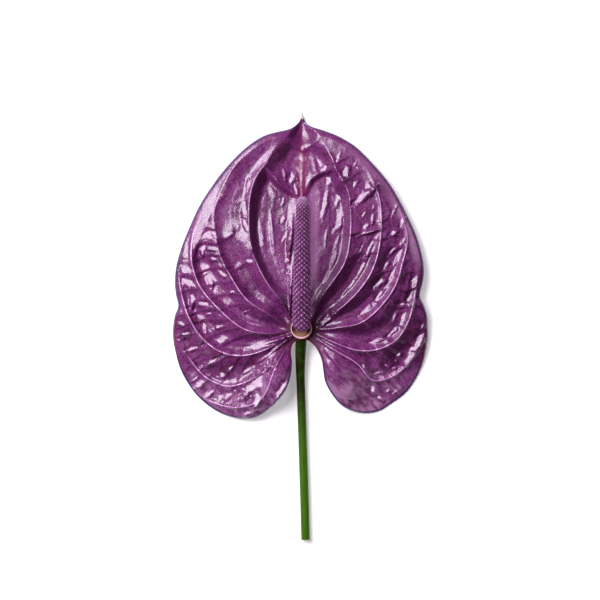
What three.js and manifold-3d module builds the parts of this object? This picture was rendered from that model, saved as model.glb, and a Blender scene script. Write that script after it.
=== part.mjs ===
// A cut anthurium flower lying face up: a heart-shaped spathe on a slim stem, with its spadix
// standing out of a small receptacle. Millimetres, +Z up, the surface it lies on is Z = 0,
// the tip of the spathe points to +Y and the stem runs to -Y.
import * as THREE from 'three';
import { mergeVertices } from 'three/addons/utils/BufferGeometryUtils.js';
import Module from 'manifold-3d';

const wasm = await Module();
wasm.setup();

// Driving sizes of the spathe
const BLADE_THICKNESS = 1.2;
const CROWN_HEIGHT = 14.5;
const CROWN_FALL_SIDEWAYS = 1.5;
const CROWN_FALL_TO_TIP = 6.5;
const CROWN_FALL_TO_LOBES = 6.0;
const CROWN_CENTRE_Y = 28;
const LOBES_FALL_Y = [8, -35];
const HALF_WIDTH = 64;
const HALF_LENGTH = 80;
const ROLL_WIDTH = 21;
const ROLL_POWER = 1.7;
const LIP_WIDTH = 2.2;
const LIP_DROP = 0.8;
const VALLEY_SLOPE = 0.26;
const VALLEY_DEPTH_MAX = 3.2;
const VALLEY_SHARE_AT_MARGIN = 0.15;
const VALLEY_SHARE_AT_TIP = 0.45;
const VALLEY_FADE_Y = [55, 72];
const WALL_WIDTH = 4.4;
const WALL_POWER = 1.2;
const RIDGE_HEIGHT = 0.65;
const RIDGE_HALF_WIDTH = 1.1;
const MIDRIB_HEIGHT = 0.9;
const NET_HEIGHT = 1.3;
const NET_HALF_WIDTH = 2.4;
const EDGE_FADE = 4.5;
const RELIEF_END_Y = [84, 100];
const BASE_CENTRE = [0.6, -2.5];
const PAD_HEIGHT = 9.0;
const PAD_RADIUS = 5.8;
const FUNNEL_RADIUS = 22;

// The two low places on which the lobes rest, each longer along the margin
const FOOT_RADIUS = 4.2;
const FOOT_BLEND_RADIUS = 11;
const FOOT_STRETCH = 1.7;
const FOOT_LIFT = 0.6;
const FEET = [
  { centre: [-52.5, -33], along: [0.64, -0.77] },
  { centre: [48.5, -35.5], along: [0.8, 0.6] },
];

// The two basins beside the midrib, deepest towards the tip, where a fold ends them
const BASIN_DEPTH = 3.6;
const BASIN_END_DEPTH = 7.2;
const BASIN_DEEPENS_TO_Y = 70;
const BASIN_WALL_WIDTH = 11;
const BASIN_WALL_WIDENS_Y = [45, 85];
const TROUGH_SHARE = 0.5;
const TROUGH_END_Y = [55, 68];
const FLANK_REACH = [1.8, 8.5];
const PLATEAU_SHARE = 0.42;
const FOLD_WIDTH = 4.2;
const FOLD_HEIGHT = 0.7;

// The keel along which the tip is folded
const KEEL_SLOPE = 0.42;
const KEEL_HEIGHT = 0.95;
const KEEL_BOTTOM = 0.6;
const KEEL_HALF_WIDTH = 5.8;
const KEEL_BLEND_WIDTH = [5.2, 16];
const KEEL_START_RISE = 4;
const KEEL_START_Y = [84, 100];
const KEEL_SHARE_Y = [80, 93];
const KEEL_END_Y = [103, 110];

// Driving sizes of the spadix, its receptacle and the stem
const GAP = 0.3;
const SPADIX_BASE = new THREE.Vector3(0.5, -2.6, 15.8);
const SPADIX_TIP = new THREE.Vector3(1.0, 64.6, 41.8);
const SPADIX_RADIUS = 4.4;
const SPADIX_TAPER = 0.36;
const SPADIX_TAPER_POWER = 2.2;
const SPADIX_TIP_ROUND = 3.4;
const SPADIX_BASE_ROUND = 4.75;
const BASE_ROUNDNESS = 0.95;
const FLORETS_ROUND = 8;
const FLORET_GROOVE = 0.5;
const FLORET_RISE = 0.05;
const FLORET_KNOB = 0.25;
const FLORET_INSET = 0.66;
const CUP_CENTRE = new THREE.Vector3(0.4, -1.4, 13.2);
const CUP_RADIUS = 5.4;
const CUP_LIP_WIDTH = 0.7;
const CUP_DISH_RISE = 1.4;
const CUP_RIM_FRONT = 12.6;
const CUP_RIM_SLOPE = 0.32;
const STEM_RADIUS = 2.2;
const STEM_TOP_RADIUS = 2.8;
const STEM_SIDES = 14;
const STEM_STEPS = 22;
const STEM_LINE = [
  [2.6, -109.8, 2.2],
  [1.9, -85, 2.2],
  [1.1, -60, 2.25],
  [0.4, -38, 2.6],
  [-0.1, -22, 3.6],
  [0.1, -11, 5.2],
  [0.6, -3.6, 7.5],
];

// Spacing of the points that carry the spathe's faces
const CURVE_STEP = 1.2;
const MARGIN_SPACING = 3.3;
const RIDGE_SPACING = 3.4;
const SMALLEST_WIDTH = 0.01;
const FLANK_OFFSET = 2.3;
const FILL_SPACING = 3.5;
const CLEAR_OF_RIDGE = 1.9;
const CLEAR_OF_MARGIN = 1.7;

// Margin of the spathe, [x, y, height of its edge], from the tip down each side to the sinus
const TIP = [0.8, 109.8, 3.2];
const SINUS = [0.8, -7.2, 9.0];
const MARGIN_LEFT = [
  [0, 107, 2.8], [-0.5, 105, 2.4], [-2.2, 103, 2.4], [-5.4, 100.9, 3.4], [-11.5, 99.3, 5],
  [-17.7, 97.5, 5.8], [-23.3, 94.5, 6.2], [-31, 88.3, 6.5], [-40, 78.5, 6.5],
  [-46.3, 69.9, 6.5], [-52, 60.7, 6.4], [-57.6, 48.4, 6.2], [-61.2, 39.2, 6],
  [-63.7, 30, 6], [-64.3, 22, 6], [-63.8, 16, 6.2], [-62.6, 10, 6.4], [-64.3, 5, 5.6],
  [-65.3, -1, 4.4], [-65.3, -7, 3.4], [-64.3, -13.1, 2.6],
  [-61.7, -22.3, 2.2], [-56.6, -31.5, 2], [-51.5, -37.6, 2], [-43.3, -43.8, 2.4],
  [-36, -46.8, 2.8], [-28.4, -47.9, 3.6], [-22.3, -46.8, 5.2], [-16, -42.5, 8],
  [-11, -37.6, 10.6], [-7, -31.8, 12.6], [-4.9, -25.3, 13.2], [-4.3, -19.2, 12.6],
  [-4.9, -13.1, 10.4], [-4, -9.5, 9.3], [-1.8, -7.6, 9],
];
const MARGIN_RIGHT = [
  [1.7, 107, 2.8], [2, 105.6, 2.4], [2.9, 103.9, 2.4], [5.4, 102.1, 3.2], [10, 100.6, 4.6],
  [18.2, 97.5, 5.8], [23.8, 94.5, 6.2], [28.4, 91.4, 6.4], [37.6, 82.2, 6.5],
  [45.3, 73, 6.4], [50.9, 63.7, 6.2], [55.6, 54.5, 6], [59.6, 45.3, 5.8], [62.2, 36.1, 5.8],
  [63.2, 30, 5.8], [63, 23.8, 6], [61.2, 14.6, 6.4], [62.7, 11.5, 6.2], [64.8, 5.4, 5.2],
  [65.3, -0.8, 4.2], [65.3, -6.9, 3.4], [63.7, -16.1, 2.6], [61.7, -22.3, 2.3],
  [58.6, -28.4, 2], [54, -34.6, 2], [45.8, -40.7, 2], [40.7, -43.8, 2.2],
  [33.5, -45.1, 2.6], [26.4, -43.8, 3.4], [20.7, -40.7, 4.8],
  [15.6, -34.6, 6.4], [12.5, -28.4, 7.8], [11.5, -22.3, 8.6], [10.8, -17.7, 8.6],
  [9, -13.1, 8.5], [6.9, -10, 8.7], [3.3, -7.4, 9],
];

// Main veins of each half, base to outer end, listed from the midrib to the margin
const MIDRIB = [[0.6, -3], [0.5, 20], [0.8, 50], [0.9, 80], [0.8, 106]];
const VEINS_LEFT = [
  [[-4.5, 2], [-9, 11.5], [-16.5, 21], [-22.5, 32.5], [-25.5, 44], [-26, 55], [-25.5, 65.5],
    [-23, 74.5], [-17, 84], [-9, 96], [-1.5, 104.5]],
  [[-5.5, -1], [-16.5, 6], [-27.5, 13.5], [-35.5, 25], [-41, 36.5], [-43.5, 49], [-43.5, 60],
    [-38.5, 73], [-31, 85], [-19.5, 95]],
  [[-6, -3], [-17.5, -4], [-29, -1.5], [-41.5, 8.5], [-51.5, 20.5], [-55.5, 32.5], [-55.5, 43],
    [-53, 53], [-48.5, 62]],
  [[-6, -4.5], [-15.5, -11], [-27.5, -15], [-39, -14], [-50, -6.5], [-57, 4.5], [-61, 17],
    [-62.5, 28.5]],
  [[-5.5, -6.5], [-17, -22], [-28.5, -29], [-37.5, -31], [-48.5, -26.5], [-56.5, -17.5], [-62, -8]],
  [[-5.5, -8.5], [-12.5, -20.5], [-19.5, -36.5], [-29, -41.5], [-40, -41], [-50, -37],
    [-57.5, -31.5]],
];
const VEINS_RIGHT = [
  [[6, 2.5], [10, 13.5], [17, 23.5], [22.5, 32.5], [25, 44], [25.5, 56.5], [24.5, 67],
    [19.5, 77.5], [14, 89.5], [8, 99.5], [3, 105]],
  [[6.5, -0.5], [16, 5.5], [26.5, 14.5], [35, 25.5], [39.5, 37.5], [41, 51], [40.5, 62.5],
    [37, 74], [31, 83.5], [22.5, 93]],
  [[7, -2.5], [19, -1], [30.5, 1.5], [40, 9], [48, 20], [52, 32.5], [54.5, 44], [52.5, 53],
    [48.5, 63], [43, 72.5]],
  [[6.5, -3.5], [17, -8.5], [29, -12.5], [39.5, -12], [49, -7], [55, 2.5], [57.5, 11.5],
    [59.5, 21], [61, 29.5]],
  [[6, -5], [17.5, -12.5], [29, -19.5], [37, -28], [47, -26], [54, -20.5], [59.5, -13],
    [63, -5.5]],
];

// Fold across each half's basin where its deep part ends, from the midrib to the first vein
const FOLD_LEFT = [[0.8, 66.5], [-4.5, 68.5], [-9.5, 71.5], [-14, 76.5], [-20, 85]];
const FOLD_RIGHT = [[0.8, 66.5], [3, 71], [5.5, 75], [10.5, 78.5], [17, 80], [22, 79]];

// Cross ridges of the raised net, most of them from one main vein to the next
const NET_LEFT = [
  [[-24, 75.5], [-30, 70], [-38, 74.5]],
  [[-26, 66], [-33, 62.5], [-41.5, 67]],
  [[-27, 57], [-31.5, 50.5], [-33, 45]],
  [[-24.5, 39], [-28, 33], [-31, 30]],
  [[-34.5, 47], [-38, 44.5], [-42, 45]],
  [[-44, 49.5], [-49, 50.5], [-54.5, 46.5]],
  [[-43, 42], [-49.5, 43], [-56, 40.5]],
  [[-41, 36], [-48.5, 36], [-56, 32.5]],
  [[-38, 29.5], [-46, 29.5], [-54, 26.5]],
  [[-34.5, 23], [-44, 22], [-51.5, 20]],
  [[-29.5, 16], [-38, 16.5], [-47, 14.5]],
  [[-23, 10], [-32, 11.5], [-41.5, 8.5]],
  [[-54, 25.5], [-58, 26.5], [-62, 26]],
  [[-50.5, 19], [-56, 19], [-61, 17.5]],
  [[-46, 13.5], [-52, 12.5], [-59, 10]],
  [[-41, 8], [-48.5, 8.5], [-57.5, 5.5]],
  [[-36.5, 3.5], [-48, 3.5], [-55, 2]],
  [[-30.5, -0.5], [-40, -2.5], [-50, -6.5]],
  [[-24, -3], [-33, -6], [-44.5, -11.5]],
  [[-58, 6], [-61, 6], [-64.5, 5]],
  [[-55.5, 2], [-59, 1], [-63.5, -1]],
  [[-52.5, -3], [-57, -4.5], [-62.5, -7.5]],
  [[-48.5, -8], [-54, -10], [-59.5, -13.5]],
  [[-44, -11.5], [-50, -13.5], [-56, -17.5]],
  [[-36.5, -14.5], [-42, -17.5], [-50.5, -24]],
  [[-31, -15], [-35, -20.5], [-41.5, -29.5]],
  [[-25, -14], [-29.5, -21], [-34.5, -31]],
  [[-54.5, -19.5], [-58, -21], [-61, -24]],
  [[-50.5, -24], [-53.5, -26.5], [-56.5, -29.5]],
  [[-47.5, -27.5], [-50.5, -30.5], [-53, -34]],
  [[-42, -30], [-45.5, -33.5], [-48.5, -37.5]],
  [[-37.5, -31.5], [-40, -36], [-42, -40]],
  [[-34, -31], [-36.5, -36], [-36.5, -41.5]],
  [[-28, -29], [-31, -35.5], [-32, -42]],
  [[-22.5, -26], [-26, -32], [-29, -40.5]],
  [[-17, -22], [-20.5, -29], [-23.5, -38.5]],
  [[-40, -41], [-41, -43.5], [-41.5, -46]],
  [[-32.5, -42], [-32, -45], [-31, -47.5]],
  [[-26, -40.5], [-25.5, -44], [-24, -47]],
  [[-19.5, -36.5], [-18.5, -39], [-16.5, -41]],
];
const NET_RIGHT = [
  [[17, 83], [23, 86], [26.5, 89]],
  [[21, 73.5], [26.5, 76.5], [32.5, 81]],
  [[25.5, 60.5], [32, 64.5], [38.5, 70.5]],
  [[25.5, 47], [33.5, 47.5], [40.5, 49.5]],
  [[23, 33.5], [29.5, 37], [39, 37.5]],
  [[41, 53], [46.5, 56], [52, 56]],
  [[40.5, 44], [47.5, 46.5], [54, 45.5]],
  [[38, 32.5], [45.5, 38.5], [53, 40.5]],
  [[34, 23.5], [43, 28], [50.5, 28.5]],
  [[26.5, 14], [36.5, 17.5], [46.5, 20]],
  [[52, 32.5], [56, 34.5], [60, 35]],
  [[50, 26], [55, 27.5], [59.5, 28]],
  [[48, 20.5], [53, 18], [59, 20]],
  [[44.5, 14], [49, 10], [57, 10.5]],
  [[39.5, 8.5], [46.5, 3], [53, -0.5]],
  [[32, 2.5], [38.5, -3], [45.5, -9]],
  [[57.5, 11.5], [60, 10.5], [63.5, 10]],
  [[55.5, 3.5], [60, 3.5], [65, 2]],
  [[53, -1], [57, -2.5], [61, -4]],
  [[49.5, -7], [54, -8], [59, -10]],
  [[45, -10.5], [50, -14.5], [53.5, -20]],
  [[40, -12.5], [45.5, -18], [48.5, -25]],
  [[33, -13], [39.5, -19.5], [43, -27.5]],
  [[26.5, -12], [32, -18.5], [34, -26]],
  [[59.5, -13], [62.5, -13], [65, -13.5]],
  [[55, -19.5], [58, -21], [61, -23]],
  [[51, -24], [54, -26.5], [57, -29.5]],
  [[46.5, -26.5], [49.5, -30.5], [52, -35]],
  [[41.5, -27.5], [44.5, -33], [46, -39]],
  [[37, -28.5], [38.5, -35.5], [40.5, -43]],
  [[12.5, -12.5], [19, -20], [27, -27]],
  [[13.5, -20], [20.5, -28], [28.5, -36]],
  [[16, -28.5], [23, -35], [32, -41]],
];

const COLOURS = {
  spathe: 0x7a3c74,
  spadix: 0x7c4478,
  receptacle: 0xc29a86,
  stem: 0x3f6a0a,
};

// Small helpers

const mix = (a, b, t) => a + (b - a) * t;

const clamp = (value, low, high) => Math.min(Math.max(value, low), high);

function smoothstep([from, to], value) {
  const t = clamp((value - from) / (to - from), 0, 1);
  return t * t * (3 - 2 * t);
}

const distance = (a, b) => Math.hypot(a[0] - b[0], a[1] - b[1]);

// Points evenly spaced along a smooth curve through the given points
function smoothLine(points, spacing) {
  const knots = points.map((p) => new THREE.Vector3(p[0], p[1], p[2] ?? 0));
  const curve = new THREE.CatmullRomCurve3(knots, false, 'centripetal');
  const steps = Math.max(2, Math.round(curve.getLength() / spacing));
  return curve.getSpacedPoints(steps).map((p) => [p.x, p.y, p.z]);
}

// Nearest point of a line to (x, y): distance, fraction along, side (+1 is left of its run), height
function nearestOn(line, x, y) {
  let best = Infinity;
  let found = null;
  for (let i = 0; i < line.length - 1; i += 1) {
    const [ax, ay, az] = line[i];
    const [bx, by, bz] = line[i + 1];
    const dx = bx - ax;
    const dy = by - ay;
    const along = ((x - ax) * dx + (y - ay) * dy) / (dx * dx + dy * dy);
    const t = clamp(along, 0, 1);
    const gap = Math.hypot(x - ax - t * dx, y - ay - t * dy);
    if (gap < best) {
      best = gap;
      const side = Math.sign(dx * (y - ay) - dy * (x - ax));
      found = { distance: gap, along: (i + t) / (line.length - 1), side, height: mix(az, bz, t) };
    }
  }
  return found;
}

// Lines of the spathe

const marginPoints = [TIP, ...MARGIN_LEFT, SINUS, ...MARGIN_RIGHT.slice().reverse(), TIP];
const margin = smoothLine(marginPoints, CURVE_STEP);
const midrib = smoothLine(MIDRIB, CURVE_STEP);

function makeHalf(outwardSide, veins, fold, net) {
  return {
    outwardSide,
    veins: veins.map((points) => smoothLine(points, CURVE_STEP)),
    fold: smoothLine(fold, CURVE_STEP),
    net: net.map((points) => smoothLine(points, CURVE_STEP)),
  };
}

const leftHalf = makeHalf(1, VEINS_LEFT, FOLD_LEFT, NET_LEFT);
const rightHalf = makeHalf(-1, VEINS_RIGHT, FOLD_RIGHT, NET_RIGHT);

// Distances to the inner and the outer line of the band between veins in which (x, y) lies
function bandAt(half, x, y, edge) {
  const middle = nearestOn(midrib, x, y);
  const veins = half.veins.map((line) => nearestOn(line, x, y));
  const fold = nearestOn(half.fold, x, y);
  const band = {
    inner: middle.distance,
    outer: edge.distance,
    central: true,
    middle,
    veins,
    belowFold: fold.distance * fold.side * half.outwardSide,
  };
  for (const vein of veins) {
    if (vein.side === half.outwardSide) {
      band.inner = Math.min(band.inner, vein.distance);
      band.central = false;
    } else {
      band.outer = Math.min(band.outer, vein.distance);
    }
  }
  return band;
}

// Height of the spathe's upper face, built up from its parts

function crownHeight(x, y) {
  const sideways = CROWN_FALL_SIDEWAYS * (x / HALF_WIDTH) ** 2;
  const toTip = CROWN_FALL_TO_TIP * (Math.max(y - CROWN_CENTRE_Y, 0) / HALF_LENGTH) ** 2;
  const toLobes = CROWN_FALL_TO_LOBES * smoothstep(LOBES_FALL_Y, y);
  return CROWN_HEIGHT - sideways - toTip - toLobes;
}

function rolledShape(x, y, edge) {
  const inset = Math.min(edge.distance / ROLL_WIDTH, 1);
  const lip = 1 - Math.min(edge.distance / LIP_WIDTH, 1);
  const dome = mix(edge.height, crownHeight(x, y), 1 - (1 - inset) ** ROLL_POWER);
  return dome + LIP_DROP * (1 - lip ** 2) * (1 - inset);
}

// A gentle slope outside the inner vein, a steep wall below the outer one
function valleyDepth(band, y, edge) {
  const width = Math.max(band.inner + band.outer, SMALLEST_WIDTH);
  const across = band.inner / width;
  const floor = clamp(1 - WALL_WIDTH / width, 0.55, 0.8);
  const gentle = smoothstep([0, 0.75 * floor], across);
  const steep = Math.sin(0.5 * Math.PI * clamp((1 - across) / (1 - floor), 0, 1)) ** WALL_POWER;
  const reach = Math.max(edge.distance + band.outer, SMALLEST_WIDTH);
  const offMargin = smoothstep([0, 0.4], (edge.distance - band.outer) / reach);
  const share = mix(VALLEY_SHARE_AT_MARGIN, 1, offMargin);
  const towardsTip = mix(1, VALLEY_SHARE_AT_TIP, smoothstep(VALLEY_FADE_Y, y));
  const depth = Math.min(VALLEY_DEPTH_MAX, VALLEY_SLOPE * width);
  return share * towardsTip * depth * (across < floor ? gentle : steep);
}

// A flank up to the midrib, and a wall to the first vein
function basinDepth(band, y) {
  const towardsTip = smoothstep([0, BASIN_DEEPENS_TO_Y], y);
  const limit = 0.5 * (band.inner + band.outer);
  const depth = Math.min(mix(BASIN_DEPTH, BASIN_END_DEPTH, towardsTip), limit);
  const wallWidth = mix(WALL_WIDTH, BASIN_WALL_WIDTH, smoothstep(BASIN_WALL_WIDENS_Y, y));
  const wall = Math.sin(0.5 * Math.PI * Math.min(band.outer / wallWidth, 1)) ** WALL_POWER;
  const trough = mix(TROUGH_SHARE, 1, smoothstep(TROUGH_END_Y, y));
  const flank = mix(trough, 1, smoothstep(FLANK_REACH, band.inner));
  const end = mix(PLATEAU_SHARE, 1, smoothstep([0, FOLD_WIDTH], band.belowFold));
  return depth * wall * flank * end;
}

function foldHeight(band) {
  return band.central ? FOLD_HEIGHT * Math.exp(-((band.belowFold / NET_HALF_WIDTH) ** 2)) : 0;
}

function ridgeHeight(band) {
  let height = MIDRIB_HEIGHT * Math.exp(-((band.middle.distance / RIDGE_HALF_WIDTH) ** 2));
  for (const vein of band.veins) {
    const fade = smoothstep([0, 0.08], vein.along) * (1 - smoothstep([0.75, 1], vein.along));
    const profile = Math.exp(-((vein.distance / RIDGE_HALF_WIDTH) ** 2));
    height = Math.max(height, RIDGE_HEIGHT * fade * profile);
  }
  return height;
}

function netHeight(half, x, y) {
  let height = 0;
  for (const line of half.net) {
    const reach = NET_HALF_WIDTH * 3;
    const middle = line[Math.floor(line.length / 2)];
    if (distance(middle, [x, y]) > reach + line.length * CURVE_STEP) continue;
    const item = nearestOn(line, x, y);
    height = Math.max(height, NET_HEIGHT * Math.exp(-((item.distance / NET_HALF_WIDTH) ** 2)));
  }
  return height;
}

// The blade folded up on both sides of a low keel near the tip
function tipFold(x, y, height) {
  const offset = Math.hypot(x - TIP[0], KEEL_BOTTOM);
  const sides = KEEL_SLOPE * Math.min(offset, KEEL_HALF_WIDTH);
  const start = KEEL_START_RISE * (1 - smoothstep(KEEL_START_Y, y));
  const end = (TIP[2] - KEEL_HEIGHT) * smoothstep(KEEL_END_Y, y);
  const share = smoothstep(KEEL_SHARE_Y, y) * (1 - smoothstep(KEEL_BLEND_WIDTH, offset));
  return mix(height, KEEL_HEIGHT + start + end + sides, share);
}

function reliefAt(half, x, y, edge) {
  const band = bandAt(half, x, y, edge);
  const raised = ridgeHeight(band) + netHeight(half, x, y) + foldHeight(band);
  const sunk = band.central ? basinDepth(band, y) : valleyDepth(band, y, edge);
  const fromBase = distance([x, y], BASE_CENTRE);
  const clearOfPad = smoothstep([PAD_RADIUS, 2 * PAD_RADIUS], fromBase);
  return (raised - sunk) * clearOfPad * (1 - smoothstep(RELIEF_END_Y, y));
}

// How far (x, y) is off the ground of a foot: 0 on its flat, 1 clear of it
function clearOfFoot(foot, x, y) {
  const dx = x - foot.centre[0];
  const dy = y - foot.centre[1];
  const along = dx * foot.along[0] + dy * foot.along[1];
  const across = dy * foot.along[0] - dx * foot.along[1];
  const away = Math.hypot(along / FOOT_STRETCH, across);
  return smoothstep([FOOT_RADIUS, FOOT_BLEND_RADIUS], away);
}

function bladeTop(x, y) {
  const half = x < TIP[0] ? leftHalf : rightHalf;
  const edge = nearestOn(margin, x, y);
  const funnel = smoothstep([PAD_RADIUS, FUNNEL_RADIUS], distance([x, y], BASE_CENTRE));
  const inside = smoothstep([0, EDGE_FADE], edge.distance);
  const relief = reliefAt(half, x, y, edge) * inside;
  let height = mix(PAD_HEIGHT, rolledShape(x, y, edge), funnel) + relief;
  height = tipFold(x, y, height);
  for (const foot of FEET) {
    const low = BLADE_THICKNESS + Math.max(FOOT_LIFT * inside + relief, 0);
    height = mix(low, height, clearOfFoot(foot, x, y));
  }
  return Math.max(height, BLADE_THICKNESS);
}

// The underside follows the upper face, and is level with the ground under each foot
function bladeBottom(x, y, top) {
  return FEET.reduce((height, foot) => height * clearOfFoot(foot, x, y), top - BLADE_THICKNESS);
}

// Points that carry the spathe: margin, ridges with their flanks, and an even fill between

function isInside(outline, x, y) {
  let inside = false;
  for (let i = 0, j = outline.length - 1; i < outline.length; j = i, i += 1) {
    const [ax, ay] = outline[i];
    const [bx, by] = outline[j];
    if (ay > y !== by > y && x < ((bx - ax) * (y - ay)) / (by - ay) + ax) inside = !inside;
  }
  return inside;
}

function flankPoints(line, offset) {
  return line.map((point, index) => {
    const before = line[Math.max(index - 1, 0)];
    const after = line[Math.min(index + 1, line.length - 1)];
    const length = distance(before, after);
    const nx = -(after[1] - before[1]) / length;
    const ny = (after[0] - before[0]) / length;
    return [point[0] + nx * offset, point[1] + ny * offset];
  });
}

function scatterPoints() {
  const outline = smoothLine(marginPoints, MARGIN_SPACING).slice(0, -1);
  const points = outline.map((p) => [p[0], p[1]]);
  const add = (candidate, clearance) => {
    const [x, y] = candidate;
    if (!isInside(outline, x, y)) return;
    if (nearestOn(margin, x, y).distance < CLEAR_OF_MARGIN) return;
    if (points.some((p) => distance(p, candidate) < clearance)) return;
    points.push([x, y]);
  };
  FEET.forEach((foot) => add(foot.centre, CLEAR_OF_RIDGE));
  const inset = smoothLine(marginPoints, MARGIN_SPACING);
  flankPoints(inset, CLEAR_OF_MARGIN + 0.2).forEach((p) => add(p, CLEAR_OF_RIDGE));
  const raised = [MIDRIB, ...VEINS_LEFT, ...VEINS_RIGHT, FOLD_LEFT, FOLD_RIGHT];
  const ridges = raised.map((points) => smoothLine(points, RIDGE_SPACING));
  ridges.forEach((line) => line.forEach((p) => add(p, CLEAR_OF_RIDGE)));
  const net = [...NET_LEFT, ...NET_RIGHT].map((v) => smoothLine(v, RIDGE_SPACING));
  net.forEach((line) => line.forEach((p) => add(p, CLEAR_OF_RIDGE)));
  for (const side of [-1, 1]) {
    ridges.forEach((line) => {
      flankPoints(line, side * FLANK_OFFSET).forEach((p) => add(p, CLEAR_OF_RIDGE));
    });
  }
  const rowHeight = FILL_SPACING * Math.sqrt(0.75);
  for (let row = 0; row * rowHeight < 2 * HALF_LENGTH; row += 1) {
    for (let column = 0; column * FILL_SPACING < 2.1 * HALF_WIDTH; column += 1) {
      const x = -HALF_WIDTH - FILL_SPACING / 2 + (column + (row % 2) / 2) * FILL_SPACING;
      const y = TIP[1] - row * rowHeight;
      add([x, y], FILL_SPACING * 0.66);
    }
  }
  return { points, outline };
}

// Delaunay triangles of scattered points, each point added in turn

function circleThrough(points, [ia, ib, ic]) {
  const [ax, ay] = points[ia];
  const [bx, by] = points[ib];
  const [cx, cy] = points[ic];
  const twiceArea = 2 * (ax * (by - cy) + bx * (cy - ay) + cx * (ay - by));
  const a2 = ax * ax + ay * ay;
  const b2 = bx * bx + by * by;
  const c2 = cx * cx + cy * cy;
  const x = (a2 * (by - cy) + b2 * (cy - ay) + c2 * (ay - by)) / twiceArea;
  const y = (a2 * (cx - bx) + b2 * (ax - cx) + c2 * (bx - ax)) / twiceArea;
  return { x, y, radius2: (ax - x) ** 2 + (ay - y) ** 2 };
}

function triangulate(scattered) {
  const far = 5000;
  const points = [...scattered, [-far, -far], [far, -far], [0, far]];
  const count = scattered.length;
  const first = [count, count + 1, count + 2];
  let triangles = [{ corners: first, circle: circleThrough(points, first) }];
  scattered.forEach(([x, y], index) => {
    const borders = new Map();
    const kept = [];
    for (const triangle of triangles) {
      const { circle, corners } = triangle;
      if ((x - circle.x) ** 2 + (y - circle.y) ** 2 >= circle.radius2) {
        kept.push(triangle);
        continue;
      }
      for (let k = 0; k < 3; k += 1) {
        const from = corners[k];
        const to = corners[(k + 1) % 3];
        if (!borders.delete(`${to},${from}`)) borders.set(`${from},${to}`, [from, to]);
      }
    }
    for (const [from, to] of borders.values()) {
      const corners = [from, to, index];
      kept.push({ corners, circle: circleThrough(points, corners) });
    }
    triangles = kept;
  });
  return triangles.map((t) => t.corners).filter((c) => c.every((i) => i < count));
}

// A blade closed between an upper and a lower face that share one set of triangles
function closeBlade(points, triangles, topOf, bottomOf) {
  const count = points.length;
  const positions = [];
  const heights = points.map(([x, y]) => topOf(x, y));
  points.forEach(([x, y], i) => positions.push(x, y, heights[i]));
  points.forEach(([x, y], i) => positions.push(x, y, bottomOf(x, y, heights[i])));
  const indices = [];
  const borders = new Map();
  for (const [a, b, c] of triangles) {
    indices.push(a, b, c, a + count, c + count, b + count);
    for (const [from, to] of [[a, b], [b, c], [c, a]]) {
      if (!borders.delete(`${to},${from}`)) borders.set(`${from},${to}`, [from, to]);
    }
  }
  for (const [from, to] of borders.values()) {
    indices.push(from, from + count, to, to, from + count, to + count);
  }
  return indexedGeometry(positions, indices);
}

function indexedGeometry(positions, indices) {
  const geometry = new THREE.BufferGeometry();
  geometry.setAttribute('position', new THREE.Float32BufferAttribute(positions, 3));
  geometry.setIndex(indices);
  return geometry;
}

function makeSpathe() {
  const { points, outline } = scatterPoints();
  const inside = triangulate(points).filter((corners) => {
    const x = corners.reduce((sum, i) => sum + points[i][0], 0) / 3;
    const y = corners.reduce((sum, i) => sum + points[i][1], 0) / 3;
    return isInside(outline, x, y);
  });
  return closeBlade(points, inside, bladeTop, bladeBottom);
}

// Spadix: a tapering core whose surface is a spiral lattice of four-sided florets

const spadixLength = SPADIX_BASE.distanceTo(SPADIX_TIP);
const spadixAxis = new THREE.Vector3().subVectors(SPADIX_TIP, SPADIX_BASE).normalize();
const spadixRight = new THREE.Vector3(0, 0, 1).cross(spadixAxis).negate().normalize();
const spadixUp = new THREE.Vector3().crossVectors(spadixRight, spadixAxis).normalize();

function spadixRadius(along) {
  const taper = 1 - SPADIX_TAPER * (along / spadixLength) ** SPADIX_TAPER_POWER;
  const tipPart = Math.max(0, along - (spadixLength - SPADIX_TIP_ROUND)) / SPADIX_TIP_ROUND;
  const basePart = Math.max(0, SPADIX_BASE_ROUND - along) / SPADIX_BASE_ROUND;
  const tipRounding = Math.sqrt(Math.max(0, 1 - tipPart ** 2));
  const baseRounding = Math.sqrt(1 - BASE_ROUNDNESS * basePart ** 2);
  return SPADIX_RADIUS * taper * tipRounding * baseRounding;
}

function spadixPoint(along, angle, radius) {
  return SPADIX_BASE.clone()
    .addScaledVector(spadixAxis, along)
    .addScaledVector(spadixRight, radius * Math.cos(angle))
    .addScaledVector(spadixUp, radius * Math.sin(angle));
}

function floretRows() {
  const rows = [0];
  const halfHeight = (along) => (Math.PI * Math.max(spadixRadius(along), 1.5)) / FLORETS_ROUND;
  while (rows[rows.length - 1] + halfHeight(rows[rows.length - 1]) < spadixLength - 0.6) {
    const last = rows[rows.length - 1];
    rows.push(last + halfHeight(last));
  }
  return rows;
}

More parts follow.
